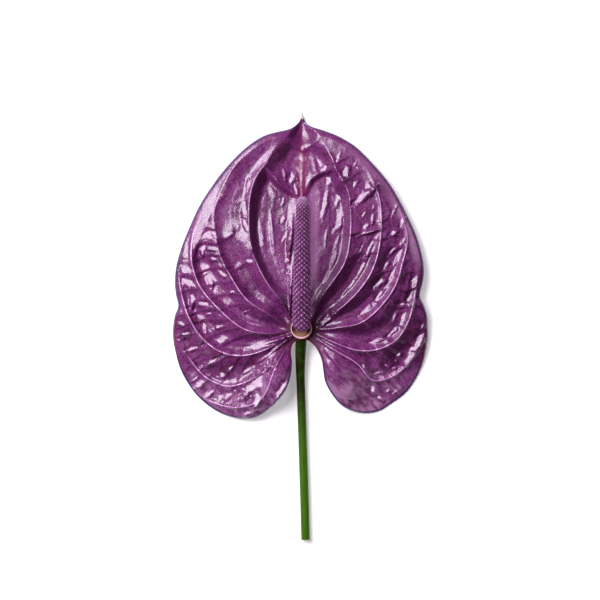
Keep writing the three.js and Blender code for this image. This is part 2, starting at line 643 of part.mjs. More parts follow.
function makeSpadix() {
  const rows = floretRows();
  const positions = [];
  const indices = [];
  const pitch = (2 * Math.PI) / FLORETS_ROUND;
  const addPoint = (point) => {
    positions.push(point.x, point.y, point.z);
    return positions.length / 3 - 1;
  };
  const cornerAngle = (row, column) => (column + ((row + 1) % 2) / 2) * pitch;
  const corners = rows.map((along, row) => {
    const radius = Math.max(spadixRadius(along) - FLORET_GROOVE, 0.5);
    return Array.from({ length: FLORETS_ROUND }, (_, column) => (
      addPoint(spadixPoint(along, cornerAngle(row, column), radius))));
  });
  const corner = (row, column) => corners[row][(column + FLORETS_ROUND) % FLORETS_ROUND];
  const readPoint = (index) => new THREE.Vector3().fromArray(positions, index * 3);

  function addFloret(row, column) {
    const odd = row % 2;
    const angle = (column + odd / 2) * pitch;
    const along = rows[row];
    const radius = spadixRadius(along);
    const ring = [
      corner(row - 1, column),
      corner(row, column - 1 + odd),
      corner(row + 1, column),
      corner(row, column + odd),
    ];
    const centre = spadixPoint(along, angle, radius + FLORET_RISE);
    const outward = centre.clone().sub(spadixPoint(along, angle, 0)).normalize();
    const inner = ring.map((index) => {
      const point = centre.clone().lerp(readPoint(index), FLORET_INSET);
      const axisPoint = spadixPoint(along, angle, 0);
      const depth = centre.clone().sub(point).dot(outward);
      const curve = point.clone().sub(axisPoint).normalize();
      return addPoint(point.addScaledVector(curve, Math.max(0, depth - 0.12)));
    });
    const knob = addPoint(centre.clone().addScaledVector(outward, FLORET_KNOB - FLORET_RISE));
    for (let k = 0; k < 4; k += 1) {
      const next = (k + 1) % 4;
      indices.push(ring[k], ring[next], inner[next], ring[k], inner[next], inner[k]);
      indices.push(inner[k], inner[next], knob);
    }
  }

  for (let row = 1; row < rows.length - 1; row += 1) {
    for (let column = 0; column < FLORETS_ROUND; column += 1) addFloret(row, column);
  }
  const closeEnd = (lower, upper, tip, flip) => {
    for (let column = 0; column < FLORETS_ROUND; column += 1) {
      const shift = (lower + 1) % 2;
      const a = corner(lower, column);
      const b = corner(upper, column + shift);
      const c = corner(lower, column + 1);
      const fans = [[a, b], [b, c]];
      for (const [from, to] of fans) indices.push(...(flip ? [from, to, tip] : [to, from, tip]));
    }
  };
  const last = rows.length - 1;
  closeEnd(0, 1, addPoint(SPADIX_BASE.clone().addScaledVector(spadixAxis, 0.1)), true);
  closeEnd(last, last - 1, addPoint(SPADIX_TIP), false);
  return indexedGeometry(positions, indices);
}

// Receptacle: a low cup whose lip wraps the foot of the spadix in a U

function toSolid(geometry) {
  const bare = geometry.index ? geometry.toNonIndexed() : geometry.clone();
  bare.deleteAttribute('normal');
  bare.deleteAttribute('uv');
  const merged = mergeVertices(bare, 1e-4);
  return new wasm.Manifold(new wasm.Mesh({
    numProp: 3,
    vertProperties: new Float32Array(merged.attributes.position.array),
    triVerts: new Uint32Array(merged.index.array),
  }));
}

function fromSolid(solid) {
  const mesh = solid.getMesh();
  return indexedGeometry(Array.from(mesh.vertProperties), Array.from(mesh.triVerts));
}

function makeReceptacle() {
  const bowl = new THREE.SphereGeometry(CUP_RADIUS, 32, 20);
  bowl.translate(...CUP_CENTRE);
  const seatDepth = 20;
  const below = new THREE.BoxGeometry(40, 40, seatDepth);
  below.translate(CUP_CENTRE.x, CUP_CENTRE.y, PAD_HEIGHT + GAP - seatDepth / 2);
  const above = new THREE.BoxGeometry(40, 40, seatDepth);
  above.translate(0, 0, seatDepth / 2);
  above.rotateX(Math.atan(CUP_RIM_SLOPE));
  above.translate(CUP_CENTRE.x, CUP_CENTRE.y - CUP_RADIUS, CUP_RIM_FRONT);
  const dish = new THREE.SphereGeometry(CUP_RADIUS - CUP_LIP_WIDTH, 32, 20);
  dish.translate(CUP_CENTRE.x, CUP_CENTRE.y, CUP_CENTRE.z + CUP_DISH_RISE);
  const boreRadius = SPADIX_RADIUS + FLORET_KNOB + GAP;
  const bore = new THREE.CapsuleGeometry(boreRadius, 30, 12, 32);
  bore.translate(0, 15, 0);
  bore.applyQuaternion(
    new THREE.Quaternion().setFromUnitVectors(new THREE.Vector3(0, 1, 0), spadixAxis),
  );
  const boreFoot = SPADIX_BASE.clone().addScaledVector(spadixAxis, SPADIX_RADIUS);
  bore.translate(...boreFoot);
  const cup = toSolid(bowl).subtract(toSolid(below)).subtract(toSolid(above));
  return fromSolid(cup.subtract(toSolid(dish)).subtract(toSolid(bore)));
}

// Stem: round sections along a gently rising line, cut square at the foot and level under the
// spathe

function makeStem() {
  const curve = new THREE.CatmullRomCurve3(
    STEM_LINE.map((p) => new THREE.Vector3(...p)),
    false,
    'centripetal',
  );
  const topHeight = PAD_HEIGHT - BLADE_THICKNESS - GAP;
  const positions = [];
  const indices = [];
  for (let step = 0; step <= STEM_STEPS; step += 1) {
    const t = step / STEM_STEPS;
    const centre = curve.getPointAt(t);
    const tangent = curve.getTangentAt(t);
    const sideways = new THREE.Vector3(0, 0, 1).cross(tangent).negate().normalize();
    const upward = new THREE.Vector3().crossVectors(sideways, tangent).normalize();
    const radius = mix(STEM_RADIUS, STEM_TOP_RADIUS, smoothstep([0.75, 0.95], t));
    for (let side = 0; side < STEM_SIDES; side += 1) {
      const angle = ((side + 0.5) / STEM_SIDES) * 2 * Math.PI;
      const point = centre.clone()
        .addScaledVector(sideways, radius * Math.cos(angle))
        .addScaledVector(upward, radius * Math.sin(angle));
      if (step === STEM_STEPS) {
        point.addScaledVector(tangent, (topHeight - point.z) / tangent.z);
      }
      positions.push(point.x, point.y, point.z);
    }
  }
  const at = (step, side) => step * STEM_SIDES + (side % STEM_SIDES);
  for (let step = 0; step < STEM_STEPS; step += 1) {
    for (let side = 0; side < STEM_SIDES; side += 1) {
      const a = at(step, side);
      const b = at(step, side + 1);
      const c = at(step + 1, side + 1);
      const d = at(step + 1, side);
      indices.push(a, c, b, a, d, c);
    }
  }
  for (let side = 1; side < STEM_SIDES - 1; side += 1) {
    indices.push(at(0, 0), at(0, side), at(0, side + 1));
    indices.push(at(STEM_STEPS, 0), at(STEM_STEPS, side + 1), at(STEM_STEPS, side));
  }
  return indexedGeometry(positions, indices);
}

// Assembly

function addPiece(group, name, geometry, colour, roughness) {
  const material = new THREE.MeshStandardMaterial({ color: colour, roughness, metalness: 0 });
  const mesh = new THREE.Mesh(geometry, material);
  mesh.name = name;
  group.add(mesh);
}

const flower = new THREE.Group();
addPiece(flower, 'spathe', makeSpathe(), COLOURS.spathe, 0.25);
addPiece(flower, 'spadix', makeSpadix(), COLOURS.spadix, 0.5);
addPiece(flower, 'receptacle', makeReceptacle(), COLOURS.receptacle, 0.5);
addPiece(flower, 'stem', makeStem(), COLOURS.stem, 0.55);

export default flower;
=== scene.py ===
"""An anthurium cut flower lying face up: its spathe, spadix, receptacle and stem, on a pale floor."""

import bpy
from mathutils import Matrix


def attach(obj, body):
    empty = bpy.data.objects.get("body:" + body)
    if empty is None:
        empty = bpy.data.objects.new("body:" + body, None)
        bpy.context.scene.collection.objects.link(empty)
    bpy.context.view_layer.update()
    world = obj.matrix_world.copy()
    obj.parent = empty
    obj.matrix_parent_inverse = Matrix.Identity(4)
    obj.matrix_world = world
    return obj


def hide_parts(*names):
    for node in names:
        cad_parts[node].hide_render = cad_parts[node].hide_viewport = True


bl_info = {
    "name": "Anthurium cut flower",
    "version": (1, 0, 0),
    "blender": (4, 5, 0),
    "location": "3D View > Sidebar > Anthurium",
    "description": "Builds a glossy heart-shaped spathe with its spadix, receptacle and stem",
    "category": "Add Mesh",
}

import math

import bmesh
import bpy
import numpy as np
from mathutils import Matrix, Vector, noise
from mathutils.geometry import delaunay_2d_cdt

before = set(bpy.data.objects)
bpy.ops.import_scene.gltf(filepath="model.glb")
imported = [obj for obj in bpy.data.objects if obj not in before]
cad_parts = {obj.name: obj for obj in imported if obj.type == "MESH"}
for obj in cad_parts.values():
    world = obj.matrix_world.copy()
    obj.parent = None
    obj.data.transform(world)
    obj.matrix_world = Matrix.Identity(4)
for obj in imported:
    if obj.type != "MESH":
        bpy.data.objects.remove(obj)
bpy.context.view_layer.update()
BODY = "root"
MM = 0.001


# Lines of the spathe in millimetres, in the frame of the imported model

# Margin as [x, y, height of its edge], from the tip down each side to the sinus
TIP = [0.8, 109.8, 3.2]
SINUS = [0.8, -7.2, 9.0]
MARGIN_LEFT = [
    [0, 107, 2.8], [-0.5, 105, 2.4], [-2.2, 103, 2.4], [-5.4, 100.9, 3.4], [-11.5, 99.3, 5],
    [-17.7, 97.5, 5.8], [-23.3, 94.5, 6.2], [-31, 88.3, 6.5], [-40, 78.5, 6.5],
    [-46.3, 69.9, 6.5], [-52, 60.7, 6.4], [-57.6, 48.4, 6.2], [-61.2, 39.2, 6],
    [-63.7, 30, 6], [-64.3, 22, 6], [-63.8, 16, 6.2], [-62.6, 10, 6.4], [-64.3, 5, 5.6],
    [-65.3, -1, 4.4], [-65.3, -7, 3.4], [-64.3, -13.1, 2.6],
    [-61.7, -22.3, 2.2], [-56.6, -31.5, 2], [-51.5, -37.6, 2], [-43.3, -43.8, 2.4],
    [-36, -46.8, 2.8], [-28.4, -47.9, 3.6], [-22.3, -46.8, 5.2], [-16, -42.5, 8],
    [-11, -37.6, 10.6], [-7, -31.8, 12.6], [-4.9, -25.3, 13.2], [-4.3, -19.2, 12.6],
    [-4.9, -13.1, 10.4], [-4, -9.5, 9.3], [-1.8, -7.6, 9],
]
MARGIN_RIGHT = [
    [1.7, 107, 2.8], [2, 105.6, 2.4], [2.9, 103.9, 2.4], [5.4, 102.1, 3.2], [10, 100.6, 4.6],
    [18.2, 97.5, 5.8], [23.8, 94.5, 6.2], [28.4, 91.4, 6.4], [37.6, 82.2, 6.5],
    [45.3, 73, 6.4], [50.9, 63.7, 6.2], [55.6, 54.5, 6], [59.6, 45.3, 5.8], [62.2, 36.1, 5.8],
    [63.2, 30, 5.8], [63, 23.8, 6], [61.2, 14.6, 6.4], [62.7, 11.5, 6.2], [64.8, 5.4, 5.2],
    [65.3, -0.8, 4.2], [65.3, -6.9, 3.4], [63.7, -16.1, 2.6], [61.7, -22.3, 2.3],
    [58.6, -28.4, 2], [54, -34.6, 2], [45.8, -40.7, 2], [40.7, -43.8, 2.2],
    [33.5, -45.1, 2.6], [26.4, -43.8, 3.4], [20.7, -40.7, 4.8], [15.6, -34.6, 6.4],
    [12.5, -28.4, 7.8], [11.5, -22.3, 8.6], [10.8, -17.7, 8.6], [9, -13.1, 8.5],
    [6.9, -10, 8.7], [3.3, -7.4, 9],
]

# Main veins of each half, base to outer end, listed from the midrib to the margin
MIDRIB = [[0.6, -3], [0.5, 20], [0.8, 50], [0.9, 80], [0.8, 106]]
VEINS_LEFT = [
    [[-4.5, 2], [-9, 11.5], [-16.5, 21], [-22.5, 32.5], [-25.5, 44], [-26, 55], [-25.5, 65.5],
     [-23, 74.5], [-17, 84], [-9, 96], [-1.5, 104.5]],
    [[-5.5, -1], [-16.5, 6], [-27.5, 13.5], [-35.5, 25], [-41, 36.5], [-43.5, 49], [-43.5, 60],
     [-38.5, 73], [-31, 85], [-19.5, 95]],
    [[-6, -3], [-17.5, -4], [-29, -1.5], [-41.5, 8.5], [-51.5, 20.5], [-55.5, 32.5], [-55.5, 43],
     [-53, 53], [-48.5, 62]],
    [[-6, -4.5], [-15.5, -11], [-27.5, -15], [-39, -14], [-50, -6.5], [-57, 4.5], [-61, 17],
     [-62.5, 28.5]],
    [[-5.5, -6.5], [-17, -22], [-28.5, -29], [-37.5, -31], [-48.5, -26.5], [-56.5, -17.5], [-62, -8]],
    [[-5.5, -8.5], [-12.5, -20.5], [-19.5, -36.5], [-29, -41.5], [-40, -41], [-50, -37],
     [-57.5, -31.5]],
]
VEINS_RIGHT = [
    [[6, 2.5], [10, 13.5], [17, 23.5], [22.5, 32.5], [25, 44], [25.5, 56.5], [24.5, 67],
     [19.5, 77.5], [14, 89.5], [8, 99.5], [3, 105]],
    [[6.5, -0.5], [16, 5.5], [26.5, 14.5], [35, 25.5], [39.5, 37.5], [41, 51], [40.5, 62.5],
     [37, 74], [31, 83.5], [22.5, 93]],
    [[7, -2.5], [19, -1], [30.5, 1.5], [40, 9], [48, 20], [52, 32.5], [54.5, 44], [52.5, 53],
     [48.5, 63], [43, 72.5]],
    [[6.5, -3.5], [17, -8.5], [29, -12.5], [39.5, -12], [49, -7], [55, 2.5], [57.5, 11.5],
     [59.5, 21], [61, 29.5]],
    [[6, -5], [17.5, -12.5], [29, -19.5], [37, -28], [47, -26], [54, -20.5], [59.5, -13],
     [63, -5.5]],
]

# Share of each main vein along which it shows as a pale line
PALE_ENDS_LEFT = [0.42, 0.48, 0.98, 0.98, 0.98, 0.98]
PALE_ENDS_RIGHT = [0.6, 0.85, 0.98, 0.98, 0.98]

# Minor veins between the main ones, lower and finer
MINOR_LEFT = [
    [[-24, 75.5], [-30, 70], [-38, 74.5]],
    [[-26, 66], [-33, 62.5], [-41.5, 67]],
    [[-27, 57], [-31.5, 50.5], [-33, 45]],
    [[-3.5, 8], [-8, 18], [-12, 32], [-14.5, 46], [-14, 62], [-11.5, 74]],
    [[-14, 10], [-24, 22], [-31, 35], [-34.5, 48], [-35, 60], [-31.5, 72]],
    [[-16, -0.5], [-30, 6], [-41, 17], [-47.5, 30], [-49.5, 44], [-46.5, 57], [-40, 69]],
    [[-14, -8], [-28, -9.5], [-40, -5.5], [-49, 3], [-55, 13], [-58.5, 26]],
]
MINOR_RIGHT = [
    [[4.5, 8], [9, 20], [13, 34], [14.5, 48], [14, 60], [11.5, 72]],
    [[14, 10], [23, 21], [30, 33], [33, 47], [32.5, 60], [28, 73]],
    [[17, 2], [29, 8.5], [38.5, 18.5], [44.5, 31], [47.5, 44], [45.5, 57], [41, 66]],
    [[15, -5], [29, -7], [40, -4], [47.5, 4], [52.5, 14], [56, 27]],
]

# How the halves differ: depth of the basin beyond its fold as a share, height of the cross ridges
# as a share, and slope of the band outside the first vein down from the second
SHARES_LEFT = {"plateau": 0.5, "net_share": 1.0, "bank_tilt": 0.135}
SHARES_RIGHT = {"plateau": 0.75, "net_share": 1.2, "bank_tilt": 0.0}

# Fold across each half's basin where its deep part ends, from the midrib to the first vein
FOLD_LEFT = [[0.8, 66.5], [-4.5, 68.5], [-9.5, 71.5], [-14, 76.5], [-20, 85]]
FOLD_RIGHT = [[0.8, 66.5], [3, 71], [5.5, 75], [10.5, 78.5], [17, 80], [22, 79]]

# Cross ridges of the raised net, each from one main vein to the next
NET_LEFT = [
    [[-24.5, 39], [-28, 33], [-31, 30]],
    [[-34.5, 47], [-38, 44.5], [-42, 45]],
    [[-44, 49.5], [-49, 50.5], [-54.5, 46.5]],
    [[-43, 42], [-49.5, 43], [-56, 40.5]],
    [[-41, 36], [-48.5, 36], [-56, 32.5]],
    [[-38, 29.5], [-46, 29.5], [-54, 26.5]],
    [[-34.5, 23], [-44, 22], [-51.5, 20]],
    [[-29.5, 16], [-38, 16.5], [-47, 14.5]],
    [[-23, 10], [-32, 11.5], [-41.5, 8.5]],
    [[-54, 25.5], [-58, 26.5], [-62, 26]],
    [[-50.5, 19], [-56, 19], [-61, 17.5]],
    [[-46, 13.5], [-52, 12.5], [-59, 10]],
    [[-41, 8], [-48.5, 8.5], [-57.5, 5.5]],
    [[-36.5, 3.5], [-48, 3.5], [-55, 2]],
    [[-30.5, -0.5], [-40, -2.5], [-50, -6.5]],
    [[-24, -3], [-33, -6], [-44.5, -11.5]],
    [[-58, 6], [-61, 6], [-64.5, 5]],
    [[-55.5, 2], [-59, 1], [-63.5, -1]],
    [[-52.5, -3], [-57, -4.5], [-62.5, -7.5]],
    [[-48.5, -8], [-54, -10], [-59.5, -13.5]],
    [[-44, -11.5], [-50, -13.5], [-56, -17.5]],
    [[-36.5, -14.5], [-42, -17.5], [-50.5, -24]],
    [[-31, -15], [-35, -20.5], [-41.5, -29.5]],
    [[-25, -14], [-29.5, -21], [-34.5, -31]],
    [[-54.5, -19.5], [-58, -21], [-61, -24]],
    [[-50.5, -24], [-53.5, -26.5], [-56.5, -29.5]],
    [[-47.5, -27.5], [-50.5, -30.5], [-53, -34]],
    [[-42, -30], [-45.5, -33.5], [-48.5, -37.5]],
    [[-37.5, -31.5], [-40, -36], [-42, -40]],
    [[-34, -31], [-36.5, -36], [-36.5, -41.5]],
    [[-28, -29], [-31, -35.5], [-32, -42]],
    [[-22.5, -26], [-26, -32], [-29, -40.5]],
    [[-17, -22], [-20.5, -29], [-23.5, -38.5]],
    [[-40, -41], [-41, -43.5], [-41.5, -46]],
    [[-32.5, -42], [-32, -45], [-31, -47.5]],
    [[-26, -40.5], [-25.5, -44], [-24, -47]],
    [[-19.5, -36.5], [-18.5, -39], [-16.5, -41]],
]
NET_RIGHT = [
    [[17, 83], [23, 86], [26.5, 89]],
    [[21, 73.5], [26.5, 76.5], [32.5, 81]],
    [[25.5, 60.5], [32, 64.5], [38.5, 70.5]],
    [[25.5, 47], [33.5, 47.5], [40.5, 49.5]],
    [[23, 33.5], [29.5, 37], [39, 37.5]],
    [[41, 53], [46.5, 56], [52, 56]],
    [[40.5, 44], [47.5, 46.5], [54, 45.5]],
    [[38, 32.5], [45.5, 38.5], [53, 40.5]],
    [[34, 23.5], [43, 28], [50.5, 28.5]],
    [[26.5, 14], [36.5, 17.5], [46.5, 20]],
    [[52, 32.5], [56, 34.5], [60, 35]],
    [[50, 26], [55, 27.5], [59.5, 28]],
    [[48, 20.5], [53, 18], [59, 20]],
    [[44.5, 14], [49, 10], [57, 10.5]],
    [[39.5, 8.5], [46.5, 3], [53, -0.5]],
    [[32, 2.5], [38.5, -3], [45.5, -9]],
    [[57.5, 11.5], [60, 10.5], [63.5, 10]],
    [[55.5, 3.5], [60, 3.5], [65, 2]],
    [[53, -1], [57, -2.5], [61, -4]],
    [[49.5, -7], [54, -8], [59, -10]],
    [[45, -10.5], [50, -14.5], [53.5, -20]],
    [[40, -12.5], [45.5, -18], [48.5, -25]],
    [[33, -13], [39.5, -19.5], [43, -27.5]],
    [[26.5, -12], [32, -18.5], [34, -26]],
    [[59.5, -13], [62.5, -13], [65, -13.5]],
    [[55, -19.5], [58, -21], [61, -23]],
    [[51, -24], [54, -26.5], [57, -29.5]],
    [[46.5, -26.5], [49.5, -30.5], [52, -35]],
    [[41.5, -27.5], [44.5, -33], [46, -39]],
    [[37, -28.5], [38.5, -35.5], [40.5, -43]],
    [[12.5, -12.5], [19, -20], [27, -27]],
    [[13.5, -20], [20.5, -28], [28.5, -36]],
    [[16, -28.5], [23, -35], [32, -41]],
]

# Oval swellings between the veins, [x, y, half length, half width, direction in degrees]. The
# broad side of each leans towards the upper left
SWELLINGS = [
    [-46, 45.2, 2.6, 1.4, -25], [-49.7, 39, 3, 1.1, 80], [-45, 38.9, 2.5, 0.9, -5],
    [-44.4, 34, 1.6, 1.1, 0], [-40.2, 26.4, 2.4, 1, -45], [-48.7, 26.7, 1.2, 0.6, 60],
    [-46.1, 22.4, 2.6, 1.4, -70], [-34.8, 17.3, 1.5, 0.9, 20], [-26.2, 33, 1.8, 1.3, -45],
    [-28.5, 51.5, 3.2, 1, -72], [-28.7, 59, 3.6, 1.3, 88], [-26.7, 72, 3.2, 0.8, 85],
    [-59, 37, 4, 1.3, 80], [-59, 28.3, 2.8, 2.4, -40], [-57.3, 21.5, 3.4, 2, -40],
    [-55.3, 13, 2.9, 1.3, 85], [-50, 11.3, 2.7, 1.5, 10], [-46.8, 6.2, 1.7, 0.8, 35],
    [-27.7, 7.4, 1.3, 0.5, 40], [-5.2, 49, 13.5, 1.6, 89],
    [-4.8, 25, 13, 0.9, 88], [-8.9, 54.3, 1.6, 1.2, 60], [-8.3, 45, 3.4, 1, 62],
    [-60.7, 0.9, 1.9, 1.1, 0], [-48.8, -0.6, 2.6, 1, -70], [-41.5, -0.6, 2.6, 1.1, 28],
    [-58.8, -4.3, 3.4, 1.3, 22], [-54.8, -11.6, 4.4, 1.2, 18], [-45.2, -18.4, 5, 1.2, 30],
    [-35.8, -21.8, 1.9, 1, 48], [-40.2, -25.6, 1.9, 1.2, 50], [-16, -8.6, 10.5, 1, 17],
    [-14, -12.8, 9, 0.7, 38], [-26.5, -22.5, 4, 1.1, 35], [-24, -30.5, 10.5, 2.5, 46],
    [-10, -33, 7.4, 1.5, 62], [-54, -27.4, 2, 0.7, 33], [-52, -31, 2.6, 0.9, 30],
    [-45.8, -34.3, 3.4, 1, 42], [-40.8, -36.8, 3, 1.3, 48], [-37, -36, 3.2, 1.3, 50],
    [-22, -39.2, 4, 1.5, 62], [-26.8, -44.6, 2.6, 1.3, 40], [-4.2, 75.6, 2.6, 1.7, 70],
    [-2.4, 69.5, 3, 0.8, -70], [-9, 63.3, 2, 0.8, 75],
    [12, 80.3, 2, 0.9, 40], [19.3, 86, 2.6, 0.7, 62], [23, 78.4, 3, 1.5, 58],
    [27.4, 82, 2, 0.6, 60], [27.6, 72, 2.4, 1, 50], [31.8, 65.8, 7.4, 1.6, 38],
    [34.4, 71.2, 1.9, 1.4, -40], [32.2, 56.8, 1.8, 0.9, 45], [37, 60.4, 1.3, 0.7, 80],
    [36.6, 54.5, 2.8, 1.1, 80], [33.3, 50.6, 2.4, 1.1, 25], [33.5, 47.3, 6, 0.7, 14],
    [12.6, 62.8, 7, 1.2, 80], [19, 64.2, 2.8, 1.3, 78], [20, 55, 5.4, 1.6, 85],
    [17.6, 49.4, 3.4, 1.1, 55], [18.3, 42.5, 4, 0.9, 66], [13.2, 46, 4.5, 0.5, 86],
    [14.4, 74, 3, 0.9, 80], [47.2, 58, 3, 0.7, 55], [51.6, 52, 3.6, 1.2, 75],
    [47.6, 47.4, 2.4, 1.3, 35], [52.8, 43.5, 2.8, 0.9, 75], [31.5, 40.5, 1.6, 0.6, 65],
    [36, 41, 2.2, 0.7, 68], [16.5, 33, 5, 0.9, 70], [12.8, 24, 5, 1, 66],
    [8.8, 15.5, 5, 0.7, 62], [34.4, 37.5, 5, 0.9, 72], [31, 29, 5, 0.9, 63],
    [26, 21, 4.5, 0.8, 55], [22, 16.5, 3, 0.5, 50], [30.5, 38.5, 1.8, 0.6, 62],
    [29.6, 33.3, 1.2, 0.5, 62], [46.3, 37.8, 3, 1, 48], [43.3, 30.6, 2.4, 1, 55],
    [40.4, 22, 4.2, 1.4, 35], [47, 27, 4.6, 0.9, 65], [50.2, 35.6, 5, 0.9, 66],
    [39.5, 14.5, 5, 0.9, 52], [33.5, 8, 4.5, 0.9, 38], [12.6, 2.2, 4.6, 1.3, 40],
    [57.6, 23.3, 1.6, 0.8, 65], [62.4, 0, 1.4, 1, 80], [47.8, 4.8, 2.3, 1.1, 75],
    [52.9, 5.1, 2.7, 0.8, 62], [52.4, 11, 2.2, 1, 10], [55, 13.5, 2, 0.6, 60],
    [46, -4.3, 4.4, 0.8, 38], [38.5, -8, 4.5, 0.8, 14], [62, -7, 3, 1.2, 68],
    [60.6, -9.2, 3.4, 1.3, 62], [50.2, -15, 1.5, 1, 20], [48.8, -17.9, 1, 0.6, -30],
    [56.3, -16.4, 3.4, 0.9, 40], [32.2, -20.6, 1.4, 0.8, -55], [39.4, -24.2, 2.6, 0.6, 5],
    [47.6, -21.9, 2.2, 0.7, 5], [44, -20.5, 2.2, 0.5, -40], [37.2, -33, 2.4, 1.1, -70],
    [40.4, -36.9, 2, 0.8, -25], [44.6, -33.4, 1.6, 0.8, 60], [48.4, -34, 1.6, 0.9, 40],
]
FAINT_SWELLINGS = [
    [-8.4, 77, 3.2, 1, -80], [-14.3, 68, 3, 1.2, -55],
    [-20, 47, 8, 1.2, -82], [-14.3, 47, 8, 0.9, -85],
]
LEAN_SIDE = (-0.82, 0.57)

# Middle of the receptacle, highest place of the dome, and half of the blade each way
BASE_CENTRE = (0.6, -2.5)
CROWN_CENTRE_Y = 28.0
HALF_WIDTH = 64.0
HALF_LENGTH = 80.0

# Stretches along Y over which a form changes, each from its start to its end
LOBES_DROOP_Y = (8.0, -35.0)
LOBES_BEGIN_Y = (0.0, -20.0)
STRIP_SMOOTH_Y = (20.0, 35.0)
VALLEYS_END_Y = (30.0, 52.0)
BANK_BEGINS_Y = (42.0, 55.0)
BASIN_DEEPENS_Y = (0.0, 70.0)
BASIN_WALL_WIDENS_Y = (45.0, 85.0)
TROUGH_FILLS_Y = (55.0, 68.0)
STRIP_NARROWS_Y = (66.0, 80.0)
RELIEF_ENDS_Y = (84.0, 100.0)
KEEL_BEGINS_Y = (78.0, 100.0)
KEEL_NARROWS_Y = (90.0, 107.0)
KEEL_RISES_Y = (103.0, 110.0)

# Low places on which the lobes rest, longer along the margin
FEET = [
    {"centre": (-52.5, -33.0), "along": (0.64, -0.77)},
    {"centre": (48.5, -35.5), "along": (0.8, 0.6)},
]

# Middle line of the stem in millimetres, from the cut end to the spathe
STEM_LINE = [
    [2.6, -109.8, 2.2], [1.9, -85, 2.2], [1.1, -60, 2.25], [0.4, -38, 2.6],
    [-0.1, -22, 3.6], [0.1, -11, 5.2], [0.6, -3.6, 7.5],
]


# Settings that a user would change

def linear(*levels):
    """Screen levels from 0 to 255 as the linear colour that a shader takes."""
    shares = [level / 255 for level in levels]
    return tuple(s / 12.92 if s < 0.04045 else ((s + 0.055) / 1.055) ** 2.4 for s in shares)


def length(name, description, millimetres):
    return bpy.props.FloatProperty(
        name=name, description=description, default=millimetres * MM, min=0.0, precision=5,
        unit="LENGTH")


def number(name, description, value):
    return bpy.props.FloatProperty(name=name, description=description, default=value)


def count(name, description, value):
    return bpy.props.IntProperty(name=name, description=description, default=value, min=1)


def colour(name, description, levels):
    return bpy.props.FloatVectorProperty(
        name=name, description=description, size=3, min=0.0, max=1.0, subtype="COLOR",
        default=linear(*levels))


